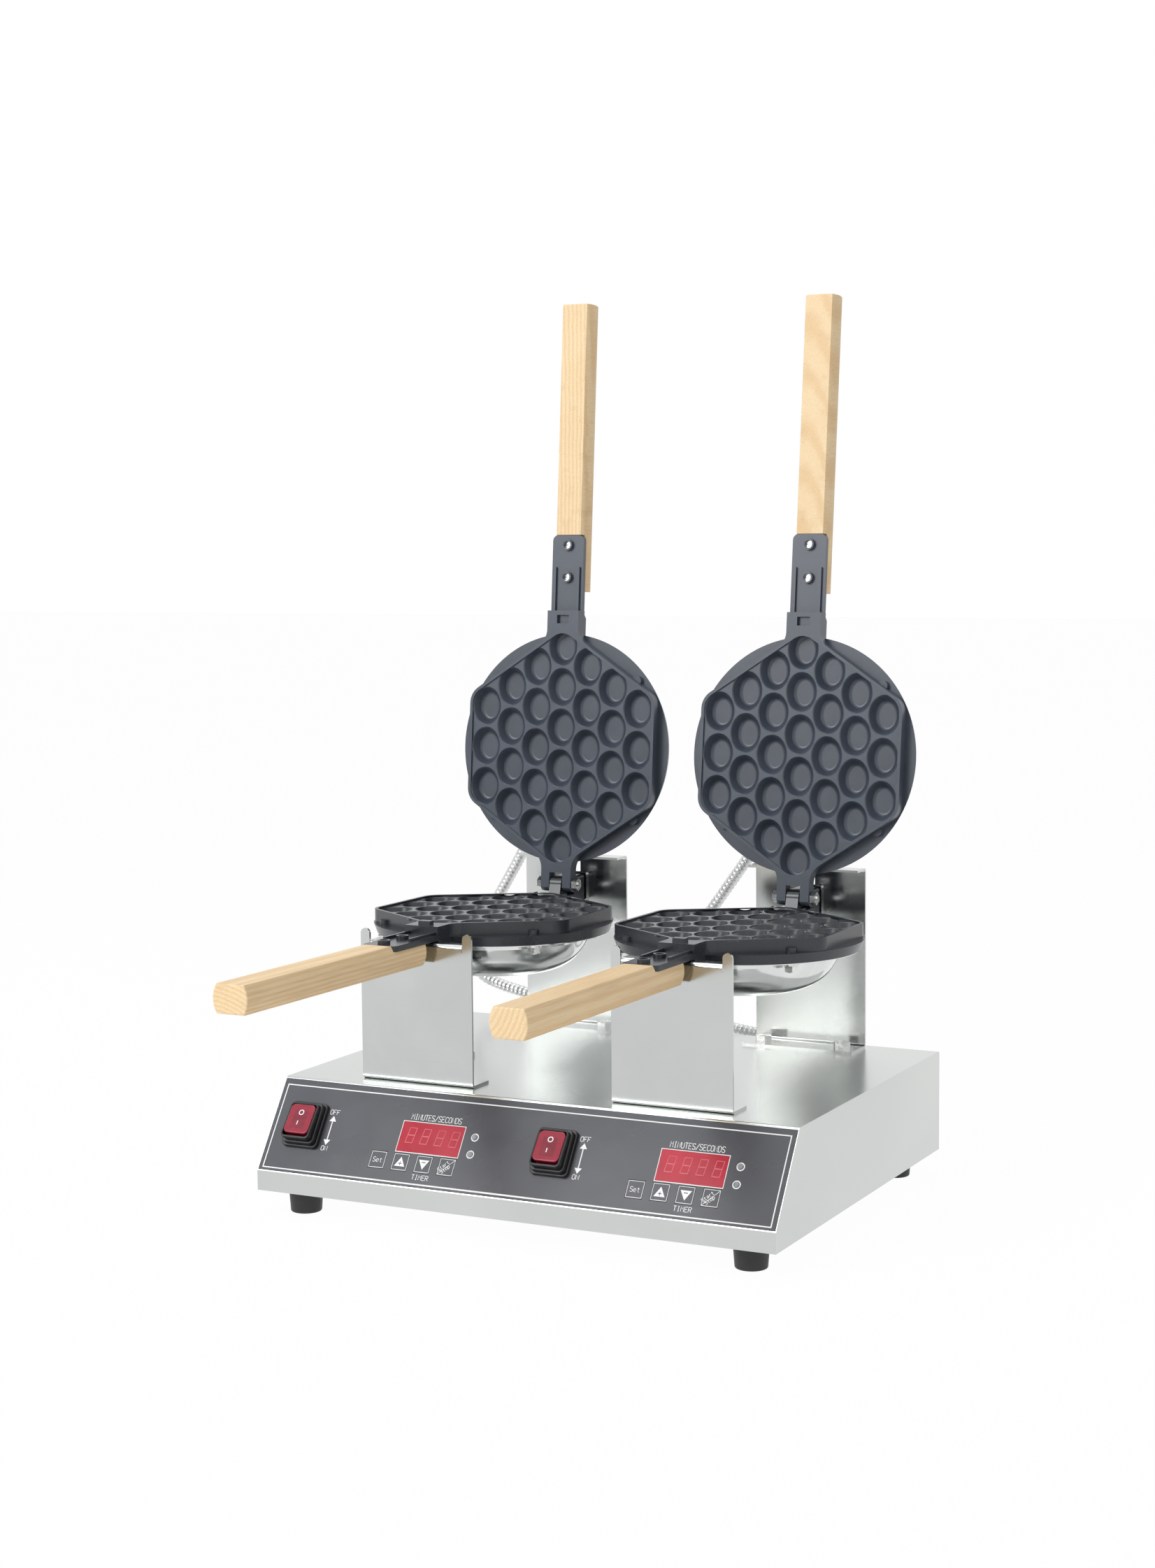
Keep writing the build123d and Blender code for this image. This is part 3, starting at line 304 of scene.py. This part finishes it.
mouldedLooks = {
    "film": {
        "dark": (0.050, 0.054, 0.066), "light": (0.066, 0.070, 0.084), "cloud": 14,
        "rough": (0.24, 0.32), "shine": 0.4, "grain": 26, "relief": 0.35, "depth": 0.0006,
    },
    "keyFilm": {
        "dark": (0.046, 0.050, 0.062), "light": (0.060, 0.064, 0.078), "cloud": 30,
        "rough": (0.26, 0.34), "shine": 0.4, "grain": 90, "relief": 0.2, "depth": 0.0002,
    },
    "rubber": {
        "dark": (0.010, 0.010, 0.011), "light": (0.022, 0.022, 0.024), "cloud": 60,
        "rough": (0.42, 0.56), "grain": 1200, "relief": 0.3,
    },
    "boot": {
        "dark": (0.008, 0.008, 0.010), "light": (0.016, 0.017, 0.019), "cloud": 50,
        "rough": (0.28, 0.38), "grain": 900, "relief": 0.15,
    },
    "nylon": {
        "dark": (0.012, 0.012, 0.013), "light": (0.026, 0.026, 0.028), "cloud": 60,
        "rough": (0.34, 0.46), "grain": 900, "relief": 0.2,
    },
    "paleNylon": {
        "dark": (0.70, 0.69, 0.63), "light": (0.80, 0.79, 0.73), "cloud": 60,
        "rough": (0.36, 0.48), "grain": 800, "relief": 0.2,
    },
    "board": {
        "dark": (0.012, 0.075, 0.030), "light": (0.030, 0.13, 0.055), "cloud": 120,
        "rough": (0.34, 0.45), "grain": 700, "relief": 0.3,
    },
    "print": {
        "dark": (0.86, 0.87, 0.88), "light": (0.93, 0.93, 0.94), "cloud": 90,
        "rough": (0.40, 0.50), "grain": 900, "relief": 0.1,
    },
    "darkPrint": {
        "dark": (0.030, 0.032, 0.038), "light": (0.045, 0.047, 0.054), "cloud": 90,
        "rough": (0.40, 0.50), "grain": 900, "relief": 0.1,
    },
    "windowRed": {
        "dark": (0.42, 0.020, 0.040), "light": (0.52, 0.032, 0.058), "cloud": 40,
        "rough": (0.14, 0.20), "shine": 0.2, "grain": 200, "relief": 0.05,
    },
    "segmentRed": {
        "dark": (0.62, 0.09, 0.12), "light": (0.72, 0.13, 0.17), "cloud": 90,
        "rough": (0.25, 0.32), "grain": 400, "relief": 0.05,
    },
    "lampGlass": {
        "dark": (0.20, 0.23, 0.24), "light": (0.36, 0.40, 0.41), "cloud": 200,
        "rough": (0.10, 0.18), "coat": 0.5, "grain": 400, "relief": 0.1,
    },
}
moulded = {name: mouldedSurface(name + "Finish", look) for name, look in mouldedLooks.items()}


# The control panel's slope: x across from the machine's middle, s up the slope, lift off the film

slopeRise, slopeSetback = 68.0, 46.3
slopeTilt = math.atan2(slopeRise, slopeSetback)
slopeFoot = Vector((0, -0.097848, 0.0358))
filmTop = 0.6
onSlope = Matrix.Translation(slopeFoot) @ Matrix.Rotation(slopeTilt, 4, "X")


def slopePlace(x, s, lift=0.0):
    return onSlope @ Matrix.Translation((x * mm, s * mm, (filmTop + lift) * mm))


# The red rocker, with its darker lamp carrier showing through

rockerPlace = (-79.6, 41.3)
rockerLook = {
    "red": (0.30, 0.012, 0.035), "deep": (0.17, 0.008, 0.022), "edge": (0.46, 0.035, 0.075),
    "carrier": (0.0062, 0.0078), "carrierShare": 0.7,
}


def rockerRed(side):
    gloss = {"Roughness": 0.20, "Coat_Weight": 0.15, "Coat_Roughness": 0.08}
    glow = {"Subsurface_Weight": 0.25, "Subsurface_Scale": 0.004}
    material, tree, shader = startMaterial("rockerRed_" + side, **gloss, **glow)
    shader.inputs["Subsurface Radius"].default_value = (1.0, 0.15, 0.2)
    centre = slopePlace(heads[side] + rockerPlace[0], rockerPlace[1]).inverted()
    local = placed(tree, turn=(math.degrees(centre.to_euler().x), 0, 0), shift=centre.translation)
    axes = tree.nodes.new("ShaderNodeSeparateXYZ")
    tree.links.new(local, axes.inputs[0])
    across, along = (
        arithmetic(tree, "LESS_THAN", arithmetic(tree, "ABSOLUTE", axes.outputs[axis], 0), half)
        for axis, half in zip("XY", rockerLook["carrier"])
    )
    inside = arithmetic(tree, "MULTIPLY", across, along)
    share = arithmetic(tree, "MULTIPLY", inside, rockerLook["carrierShare"])
    body = blendColours(tree, share, rockerLook["red"], rockerLook["deep"])
    paler = ramp(tree, noise(tree, placed(tree), 120, 2), (0.4, (0, 0, 0)), (0.8, (0.3, 0.3, 0.3)))
    colour = blendColours(tree, paler, body, rockerLook["edge"])
    tree.links.new(colour, shader.inputs["Base Color"])
    bump(tree, shader, noise(tree, placed(tree), 220, 2), 0.06, 0.00008)
    return material


# Finishes for the nodes that show as they are

finishes = {
    "base_wrap": steel["base"], "side_panel": steel["base"], "bottom_tray": steel["galvanised"],
    "front_bracket": steel["bracket"], "rear_bracket": steel["bracket"], "pivot_plates": steel["bracket"],
    "lower_dome": steel["dome"], "upper_dome": steel["dome"],
    "foot_screws": steel["zinc"], "bracket_bolts": steel["zinc"], "hinge_bolts": steel["zinc"],
    "pivot_shafts": steel["zinc"], "lower_nuts": steel["zinc"], "upper_nuts": steel["zinc"],
    "lower_grip_screws": steel["zinc"], "upper_grip_screws": steel["zinc"],
    "base_glands": steel["zinc"], "lower_glands": steel["zinc"], "upper_gland": steel["zinc"],
    "lower_conduits": steel["hose"], "lid_conduit": steel["hose"],
    "lower_heaters": steel["heater"], "upper_heater": steel["heater"],
    "lower_mould": coating["lower"], "upper_mould": coating["upper"],
    "rubber_feet": moulded["rubber"], "switch_boots": moulded["boot"], "switch_bodies": moulded["nylon"],
    "power_gland": moulded["nylon"], "terminal_block": moulded["paleNylon"], "timer_boards": moulded["board"],
    "control_overlay": moulded["film"], "display_windows": moulded["windowRed"],
    "indicator_lamps": moulded["lampGlass"], "key_": moulded["keyFilm"],
}


def finishNodes():
    for name, node in nodes.items():
        if name in gripGrain:
            finish = woodGrain("wood_" + name, gripGrain[name])
        elif name.startswith("rocker_"):
            finish = rockerRed(name.split("_")[1])
        else:
            finish = next(finishes[start] for start in finishes if name.startswith(start))
        node.data.materials.clear()
        node.data.materials.append(finish)


finishNodes()
print("finishes on the nodes")


# Ribbed metal conduits from the lids to the back of the base. The strip is wound in rings, so
# each rib stands up steeply on one side and falls away on the other.

conduit = {
    "left": [(-0.16, 0.2696, 0.3032), (-0.1665, 0.2845, 0.2954), (-0.178, 0.2872, 0.2655),
             (-0.194, 0.2902, 0.2395), (-0.214, 0.2902, 0.2075), (-0.232, 0.2882, 0.1775),
             (-0.24, 0.2862, 0.1515), (-0.23, 0.2842, 0.1345), (-0.206, 0.2832, 0.1265),
             (-0.178, 0.2852, 0.1205), (-0.157, 0.2932, 0.1115), (-0.145, 0.3012, 0.0985),
             (-0.1425, 0.3022, 0.0805), (-0.1425, 0.2952, 0.0685), (-0.1425, 0.2832, 0.0615),
             (-0.1425, 0.2712, 0.0615)],
    "right": [(0.065, 0.2714, 0.3018), (0.0585, 0.2861, 0.2936), (0.048, 0.2882, 0.2695),
              (0.03, 0.2902, 0.2455), (0.008, 0.2902, 0.2155), (-0.014, 0.2892, 0.1855),
              (-0.026, 0.2872, 0.1555), (-0.02, 0.2852, 0.1275), (0.002, 0.2832, 0.1095),
              (0.03, 0.2832, 0.1035), (0.058, 0.2902, 0.0995), (0.077, 0.2992, 0.0935),
              (0.0825, 0.3022, 0.0795), (0.0825, 0.2952, 0.0685), (0.0825, 0.2832, 0.0615),
              (0.0825, 0.2712, 0.0615)],
    "radius": 0.0052, "root": 0.0044, "pitch": 0.0042, "stepsPerRib": 10, "sides": 20,
    # share of the pitch, and how far up the rib
    "rib": [(0.0, 0.0), (0.10, 0.75), (0.22, 1.0), (0.52, 0.95), (0.74, 0.55), (0.90, 0.1)],
}


def meshPiece(name, shell, material):
    mesh = bpy.data.meshes.new(name)
    shell.to_mesh(mesh)
    shell.free()
    mesh.materials.append(material)
    piece = bpy.data.objects.new(name, mesh)
    scene.collection.objects.link(piece)
    return piece


def routeLine(name, points):
    curve = bpy.data.curves.new(name, "CURVE")
    curve.dimensions = "3D"
    curve.resolution_u = 24
    spline = curve.splines.new("NURBS")
    spline.points.add(len(points) - 1)
    for point, place in zip(spline.points, points):
        point.co = (*place, 1)
    spline.order_u = 3
    spline.use_endpoint_u = True
    holder = bpy.data.objects.new(name, curve)
    scene.collection.objects.link(holder)
    bpy.context.view_layer.update()
    mesh = bpy.data.meshes.new_from_object(holder)
    line = [vertex.co.copy() for vertex in mesh.vertices]
    bpy.data.objects.remove(holder)
    return line


def evenPoints(line, step):
    lengths = [0.0]
    for before, after in zip(line, line[1:]):
        lengths.append(lengths[-1] + (after - before).length)
    count = max(2, round(lengths[-1] / step))
    found, index = [], 0
    for number in range(count + 1):
        wanted = lengths[-1] * number / count
        while index < len(line) - 2 and lengths[index + 1] < wanted:
            index += 1
        run = lengths[index + 1] - lengths[index]
        found.append(line[index].lerp(line[index + 1], (wanted - lengths[index]) / run))
    return found, lengths[-1]


def hoseLoops(places):
    steps = conduit["stepsPerRib"]
    heading = (places[1] - places[0]).normalized()
    frameNow = heading.to_track_quat("Z", "Y").to_matrix().to_4x4()
    loops = []
    for rib in range(len(places) // steps):
        for share, up in conduit["rib"]:
            spot = rib * steps + share * steps
            index = min(int(spot), len(places) - 2)
            here = places[index].lerp(places[index + 1], spot - index)
            ahead = (places[index + 1] - places[index]).normalized()
            frameNow = (heading.rotation_difference(ahead).to_matrix() @ frameNow.to_3x3()).to_4x4()
            heading = ahead
            size = conduit["root"] + (conduit["radius"] - conduit["root"]) * up
            loops.append(Matrix.Translation(here) @ frameNow @ Matrix.Diagonal((size, size, 1, 1)))
    return loops


def hoseShell(loops):
    shell = bmesh.new()
    before = None
    for place in loops:
        ring = bmesh.ops.create_circle(shell, segments=conduit["sides"], radius=1.0, matrix=place)["verts"]
        edges = list({edge for vertex in ring for edge in vertex.link_edges})
        if before:
            bmesh.ops.bridge_loops(shell, edges=before + edges)
        before = edges
    bmesh.ops.holes_fill(shell, edges=[edge for edge in shell.edges if edge.is_boundary], sides=0)
    bmesh.ops.recalc_face_normals(shell, faces=shell.faces)
    for face in shell.faces:
        face.smooth = len(face.verts) == 4
    return shell


def ribbedHose(side):
    line = routeLine("route_" + side, conduit[side])
    places, length = evenPoints(line, conduit["pitch"] / conduit["stepsPerRib"])
    hose = meshPiece("hose_" + side, hoseShell(hoseLoops(places)), steel["hose"])
    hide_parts("lid_conduit_" + side)
    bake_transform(hose)
    print("hose", side, "length", round(length, 3))


for side in heads:
    ribbedHose(side)


# Panel print. Letters are pen strokes on a grid 3 wide and 5 high.

letters = {
    "M": [[(0, 0), (0, 5), (1.5, 2.6), (3, 5), (3, 0)]],
    "I": [[(0.8, 5), (2.2, 5)], [(1.5, 5), (1.5, 0)], [(0.8, 0), (2.2, 0)]],
    "N": [[(0, 0), (0, 5), (3, 0), (3, 5)]],
    "U": [[(0, 5), (0, 0.9), (0.8, 0), (2.2, 0), (3, 0.9), (3, 5)]],
    "T": [[(0, 5), (3, 5)], [(1.5, 5), (1.5, 0)]],
    "E": [[(3, 5), (0, 5), (0, 0), (3, 0)], [(0, 2.6), (2.4, 2.6)]],
    "S": [[(3, 4.2), (2.3, 5), (0.7, 5), (0, 4.2), (0, 3.4), (0.7, 2.7), (2.3, 2.3), (3, 1.6), (3, 0.8),
           (2.3, 0), (0.7, 0), (0, 0.8)]],
    "/": [[(0, -0.4), (3, 5.4)]],
    "C": [[(3, 4.1), (2.2, 5), (0.9, 5), (0, 4.1), (0, 0.9), (0.9, 0), (2.2, 0), (3, 0.9)]],
    "O": [[(0.9, 0), (0, 0.9), (0, 4.1), (0.9, 5), (2.1, 5), (3, 4.1), (3, 0.9), (2.1, 0), (0.9, 0)]],
    "D": [[(0, 0), (0, 5), (1.9, 5), (3, 3.9), (3, 1.1), (1.9, 0), (0, 0)]],
    "R": [[(0, 0), (0, 5), (2.2, 5), (3, 4.3), (3, 3.3), (2.2, 2.6), (0, 2.6)], [(1.5, 2.6), (3, 0)]],
    "F": [[(0, 0), (0, 5), (3, 5)], [(0, 2.6), (2.3, 2.6)]],
    "e": [[(0, 1.7), (2.8, 1.7), (2.8, 2.4), (2.1, 3.3), (0.8, 3.3), (0, 2.4), (0, 0.8), (0.8, 0),
           (2.6, 0.1)]],
    "t": [[(1.2, 4.6), (1.2, 0.7), (1.8, 0), (2.7, 0.1)], [(0.2, 3.3), (2.5, 3.3)]],
    "a": [[(0.3, 3), (1, 3.3), (2, 3.3), (2.7, 2.6), (2.7, 0)],
          [(2.7, 1.9), (0.9, 1.8), (0.1, 1), (0.8, 0), (2.7, 0.7)]],
    "r": [[(0.5, 3.3), (0.5, 0)], [(0.5, 2.2), (1.3, 3.3), (2.6, 3.3)]],
    "o": [[(0.8, 0), (0, 0.8), (0, 2.5), (0.8, 3.3), (2, 3.3), (2.8, 2.5), (2.8, 0.8), (2, 0), (0.8, 0)]],
    "p": [[(0.1, 3.3), (0.1, -1.4)],
          [(0.1, 2.5), (0.9, 3.3), (2, 3.3), (2.8, 2.5), (2.8, 0.8), (2, 0), (0.9, 0), (0.1, 0.8)]],
}


def writeWord(word, x, s, width, height, turn=0.0):
    strokes = []
    step = width / (4 * len(word) - 1)
    spin = Matrix.Rotation(math.radians(turn), 2)
    for index, letter in enumerate(word):
        for stroke in letters[letter]:
            row = []
            for along, up in stroke:
                spot = spin @ Vector(((4 * index + along) * step, up * height / 5))
                row.append((x + spot.x, s + spot.y))
            strokes.append(row)
    return strokes


def rectangle(x, s, width, height):
    left, right, low, high = x - width / 2, x + width / 2, s - height / 2, s + height / 2
    middle = (x, low)
    return [middle, (left, low), (left, high), (right, high), (right, low), middle]


def circle(x, s, radius, count=28):
    turns = [2 * math.pi * k / count for k in range(count + 1)]
    return [(x + radius * math.cos(t), s + radius * math.sin(t)) for t in turns]


inkLift = 0.01        # above the film, in mm
inkRaise = 0.00003     # thickness of a filled mark
lineFlatness = 0.08    # height of a line against its width


def inkLines(name, strokes, width, place, body, finish="print"):
    curve = bpy.data.curves.new(name, "CURVE")
    curve.dimensions = "3D"
    curve.bevel_depth = width / 2 * mm
    curve.bevel_resolution = 1
    curve.use_fill_caps = True
    for stroke in strokes:
        spline = curve.splines.new("POLY")
        spline.points.add(len(stroke) - 1)
        for point, (x, s) in zip(spline.points, stroke):
            point.co = (x * mm, s * mm, 0, 1)
    holder = bpy.data.objects.new(name + "Line", curve)
    scene.collection.objects.link(holder)
    bpy.context.view_layer.update()
    mesh = bpy.data.meshes.new_from_object(holder)
    bpy.data.objects.remove(holder)
    mesh.name = name
    mesh.transform(place @ Matrix.Diagonal((1, 1, lineFlatness, 1)))
    mesh.materials.clear()
    mesh.materials.append(moulded[finish])
    piece = bpy.data.objects.new(name, mesh)
    scene.collection.objects.link(piece)
    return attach(piece, body)


def inkPatch(name, corners, place, body, finish="print"):
    shell = bmesh.new()
    face = shell.faces.new([shell.verts.new((x * mm, s * mm, 0)) for x, s in corners])
    face.normal_update()
    if face.normal.z < 0:
        face.normal_flip()
    top = bmesh.ops.extrude_face_region(shell, geom=[face])["geom"]
    lifted = [item for item in top if isinstance(item, bmesh.types.BMVert)]
    bmesh.ops.translate(shell, verts=lifted, vec=(0, 0, inkRaise))
    bmesh.ops.recalc_face_normals(shell, faces=shell.faces)
    shell.transform(place)
    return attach(meshPiece(name, shell, moulded[finish]), body)


panelPrint = {
    "frame": (0, 39.1, 441, 71.6), "frameLine": 1.5,
    "window": (35.6, 41.6, 56.2, 26.0), "windowLine": 0.9,
    "lamps": (73.8, (32.6, 46.8)), "lampRing": 2.9, "lampLine": 1.0,
    "letterLine": 0.55,
    "words": [("MINUTES/SECONDS", 13.5, 56.4, 44.8, 4.6), ("TIMER", 28.4, 7.2, 14.6, 3.9),
              ("OFF", -61.2, 53.1, 8.5, 3.9), ("ON", -60.0, 22.4, 5.6, 3.8)],
    "arrow": {"x": -56.9, "low": 27.0, "high": 51.9, "shaft": 1.1, "head": (6.2, 4.6)},
}


def printPanel(side):
    onFilm = slopePlace(heads[side], 0, inkLift)
    strokes = []
    for word in panelPrint["words"]:
        strokes += writeWord(*word)
    inkLines("panelWords_" + side, strokes, panelPrint["letterLine"], onFilm, "base")
    outline = [rectangle(*panelPrint["window"])]
    inkLines("windowOutline_" + side, outline, panelPrint["windowLine"], onFilm, "base")
    lampX, lampRows = panelPrint["lamps"]
    rings = [circle(lampX, s, panelPrint["lampRing"]) for s in lampRows]
    inkLines("lampRings_" + side, rings, panelPrint["lampLine"], onFilm, "base")
    arrow = panelPrint["arrow"]
    x, low, high = arrow["x"], arrow["low"], arrow["high"]
    half, tall = arrow["head"][0] / 2, arrow["head"][1]
    inkLines("arrowShaft_" + side, [[(x, low + 2), (x, high - 2)]], arrow["shaft"], onFilm, "base")
    inkPatch("arrowUp_" + side, [(x - half, high - tall), (x + half, high - tall), (x, high)], onFilm, "base")
    inkPatch("arrowDown_" + side, [(x - half, low + tall), (x + half, low + tall), (x, low)], onFilm, "base")


border = [rectangle(*panelPrint["frame"])]
inkLines("panelBorder", border, panelPrint["frameLine"], slopePlace(0, 0, inkLift), "base")
for side in heads:
    printPanel(side)
print("panel print")


# Display digits: all eights, unlit, seen through the red window

digits = {"first": 13.6, "step": 13.0, "low": 36.4, "width": 6.2, "height": 13.4, "lean": 1.6,
          "line": 0.85, "lift": 0.02}


def printDigits(side):
    strokes = []
    for number in range(4):
        left = digits["first"] + number * digits["step"]
        wide, tall, lean = digits["width"], digits["height"], digits["lean"]
        for low, high in ((0.03, 0.49), (0.51, 0.97)):
            corners = [(0, low), (0, high), (wide, high), (wide, low), (0, low)]
            strokes.append([(left + x + lean * up, digits["low"] + tall * up) for x, up in corners])
    place = slopePlace(heads[side], 0, digits["lift"])
    inkLines("digits_" + side, strokes, digits["line"], place, "base", "segmentRed")


for side in heads:
    printDigits(side)


# Key print, on the keys so that it moves with them

keyPrint = {"x": -6.0, "step": 20.7, "s": 20.2, "size": (13.0, 13.0), "line": 0.6, "letterLine": 0.45}


def printKey(side, index, name):
    body = f"key_{name}_{side}"
    place = slopePlace(heads[side] + keyPrint["x"] + index * keyPrint["step"], keyPrint["s"], inkLift)
    onMark = place @ Matrix.Translation((0, 0, inkRaise))
    width, height = keyPrint["size"]
    inkLines("outline_" + body, [rectangle(0, 0, width, height)], keyPrint["line"], place, body)
    if name == "set":
        inkLines("word_" + body, writeWord("Set", -4.1, -2.0, 8.2, 3.9), keyPrint["letterLine"], place, body)
    if name == "up":
        inkPatch("mark_" + body, [(-4.6, -3.6), (4.6, -3.6), (0, 4.3)], place, body)
        cross = [[(-1.6, -1.2), (1.6, -1.2)], [(0, -2.7), (0, 0.4)]]
        inkLines("sign_" + body, cross, 0.6, onMark, body, "darkPrint")
    if name == "down":
        inkPatch("mark_" + body, [(-4.6, 3.6), (4.6, 3.6), (0, -4.3)], place, body)
        inkLines("sign_" + body, [[(-1.7, 1.6), (1.7, 1.6)]], 0.7, onMark, body, "darkPrint")
    if name == "start":
        strokes = [[(-width / 2, -height / 2), (width / 2, height / 2)]]
        strokes += writeWord("Start", -5.6, -3.9, 10.6, 2.9, 45)
        strokes += writeWord("Stop", -2.4, -5.6, 8.2, 2.9, 45)
        inkLines("word_" + body, strokes, keyPrint["letterLine"], place, body)


for side in heads:
    for index, name in enumerate(("set", "up", "down", "start")):
        printKey(side, index, name)


# O and I on each rocker, which rests with its upper end pressed

rockerMarks = {"rest": -5.0, "pivot": 3.0, "top": 13.72, "ring": (0, 5.4, 2.0), "bar": (-0.6, -3.75, 3.6),
               "line": 0.9}


def markRocker(side):
    across, up = rockerPlace
    pivot = onSlope @ Matrix.Translation(((heads[side] + across) * mm, up * mm, rockerMarks["pivot"] * mm))
    face = pivot @ Matrix.Rotation(math.radians(rockerMarks["rest"]), 4, "X")
    face = face @ Matrix.Translation((0, 0, (rockerMarks["top"] - rockerMarks["pivot"]) * mm))
    x, s, radius = rockerMarks["ring"]
    barX, barS, tall = rockerMarks["bar"]
    body = "rocker_" + side
    inkLines("offMark_" + side, [circle(x, s, radius)], rockerMarks["line"], face, body)
    bar = [(barX, barS - tall / 2), (barX, barS + tall / 2)]
    inkLines("onMark_" + side, [bar], rockerMarks["line"], face, body)


for side in heads:
    markRocker(side)
print("keys, digits and rockers marked")


# Studio: white floor, strong soft light from the front left, a weak fill from the right, one from above

studio = {
    "floor": 14.0,
    "lamps": {
        "softbox": {"place": (-1.3, -2.5, 1.9), "size": 1.8, "power": 58},
        "fill": {"place": (2.4, -0.9, 1.5), "size": 1.6, "power": 6},
        "top": {"place": (-0.4, 0.3, 2.6), "size": 2.0, "power": 16},
    },
    "daylight": 0.46,
    "floorGlow": 0.97,
    "aim": (0, 0.05, 0.3),
}


# One where a ray from the camera, a reflection or a see-through piece meets the white

def seenRays(tree):
    rays = tree.nodes.new("ShaderNodeLightPath")
    seen = arithmetic(tree, "MAXIMUM", rays.outputs["Is Camera Ray"], rays.outputs["Is Glossy Ray"])
    return arithmetic(tree, "MAXIMUM", seen, rays.outputs["Is Transmission Ray"])


def makeFloor():
    shell = bmesh.new()
    bmesh.ops.create_grid(shell, x_segments=2, y_segments=2, size=studio["floor"])
    material, tree, shader = startMaterial("floorWhite", Base_Color=(0.9, 0.9, 0.9, 1), Roughness=0.8)
    glow = tree.nodes.new("ShaderNodeEmission")
    glow.inputs["Color"].default_value = (1, 1, 1, 1)
    mix = tree.nodes.new("ShaderNodeMixShader")
    tree.links.new(arithmetic(tree, "MULTIPLY", seenRays(tree), studio["floorGlow"]), mix.inputs[0])
    tree.links.new(shader.outputs[0], mix.inputs[1])
    tree.links.new(glow.outputs[0], mix.inputs[2])
    tree.links.new(mix.outputs[0], tree.nodes["Material Output"].inputs["Surface"])
    floor = meshPiece("studioFloor", shell, material)


def makeWorld():
    world = bpy.data.worlds.new("studioWorld")
    world.use_nodes = True
    scene.world = world
    tree = world.node_tree
    back = tree.nodes["Background"]
    back.inputs["Color"].default_value = (1, 1, 1, 1)
    strength = tree.nodes.new("ShaderNodeMapRange")
    strength.inputs["To Min"].default_value = studio["daylight"]
    strength.inputs["To Max"].default_value = 1.0
    tree.links.new(seenRays(tree), strength.inputs["Value"])
    tree.links.new(strength.outputs["Result"], back.inputs["Strength"])


def makeLamps():
    for name, setup in studio["lamps"].items():
        data = bpy.data.lights.new(name, "AREA")
        data.shape = "DISK"
        data.size = setup["size"]
        data.energy = setup["power"]
        lamp = bpy.data.objects.new(name, data)
        lamp.location = setup["place"]
        aim = Vector(studio["aim"]) - lamp.location
        lamp.rotation_mode = "QUATERNION"
        lamp.rotation_quaternion = aim.to_track_quat("-Z", "Y")
        scene.collection.objects.link(lamp)


makeFloor()
makeWorld()
makeLamps()
scene.view_settings.view_transform = "Standard"
print("studio set")
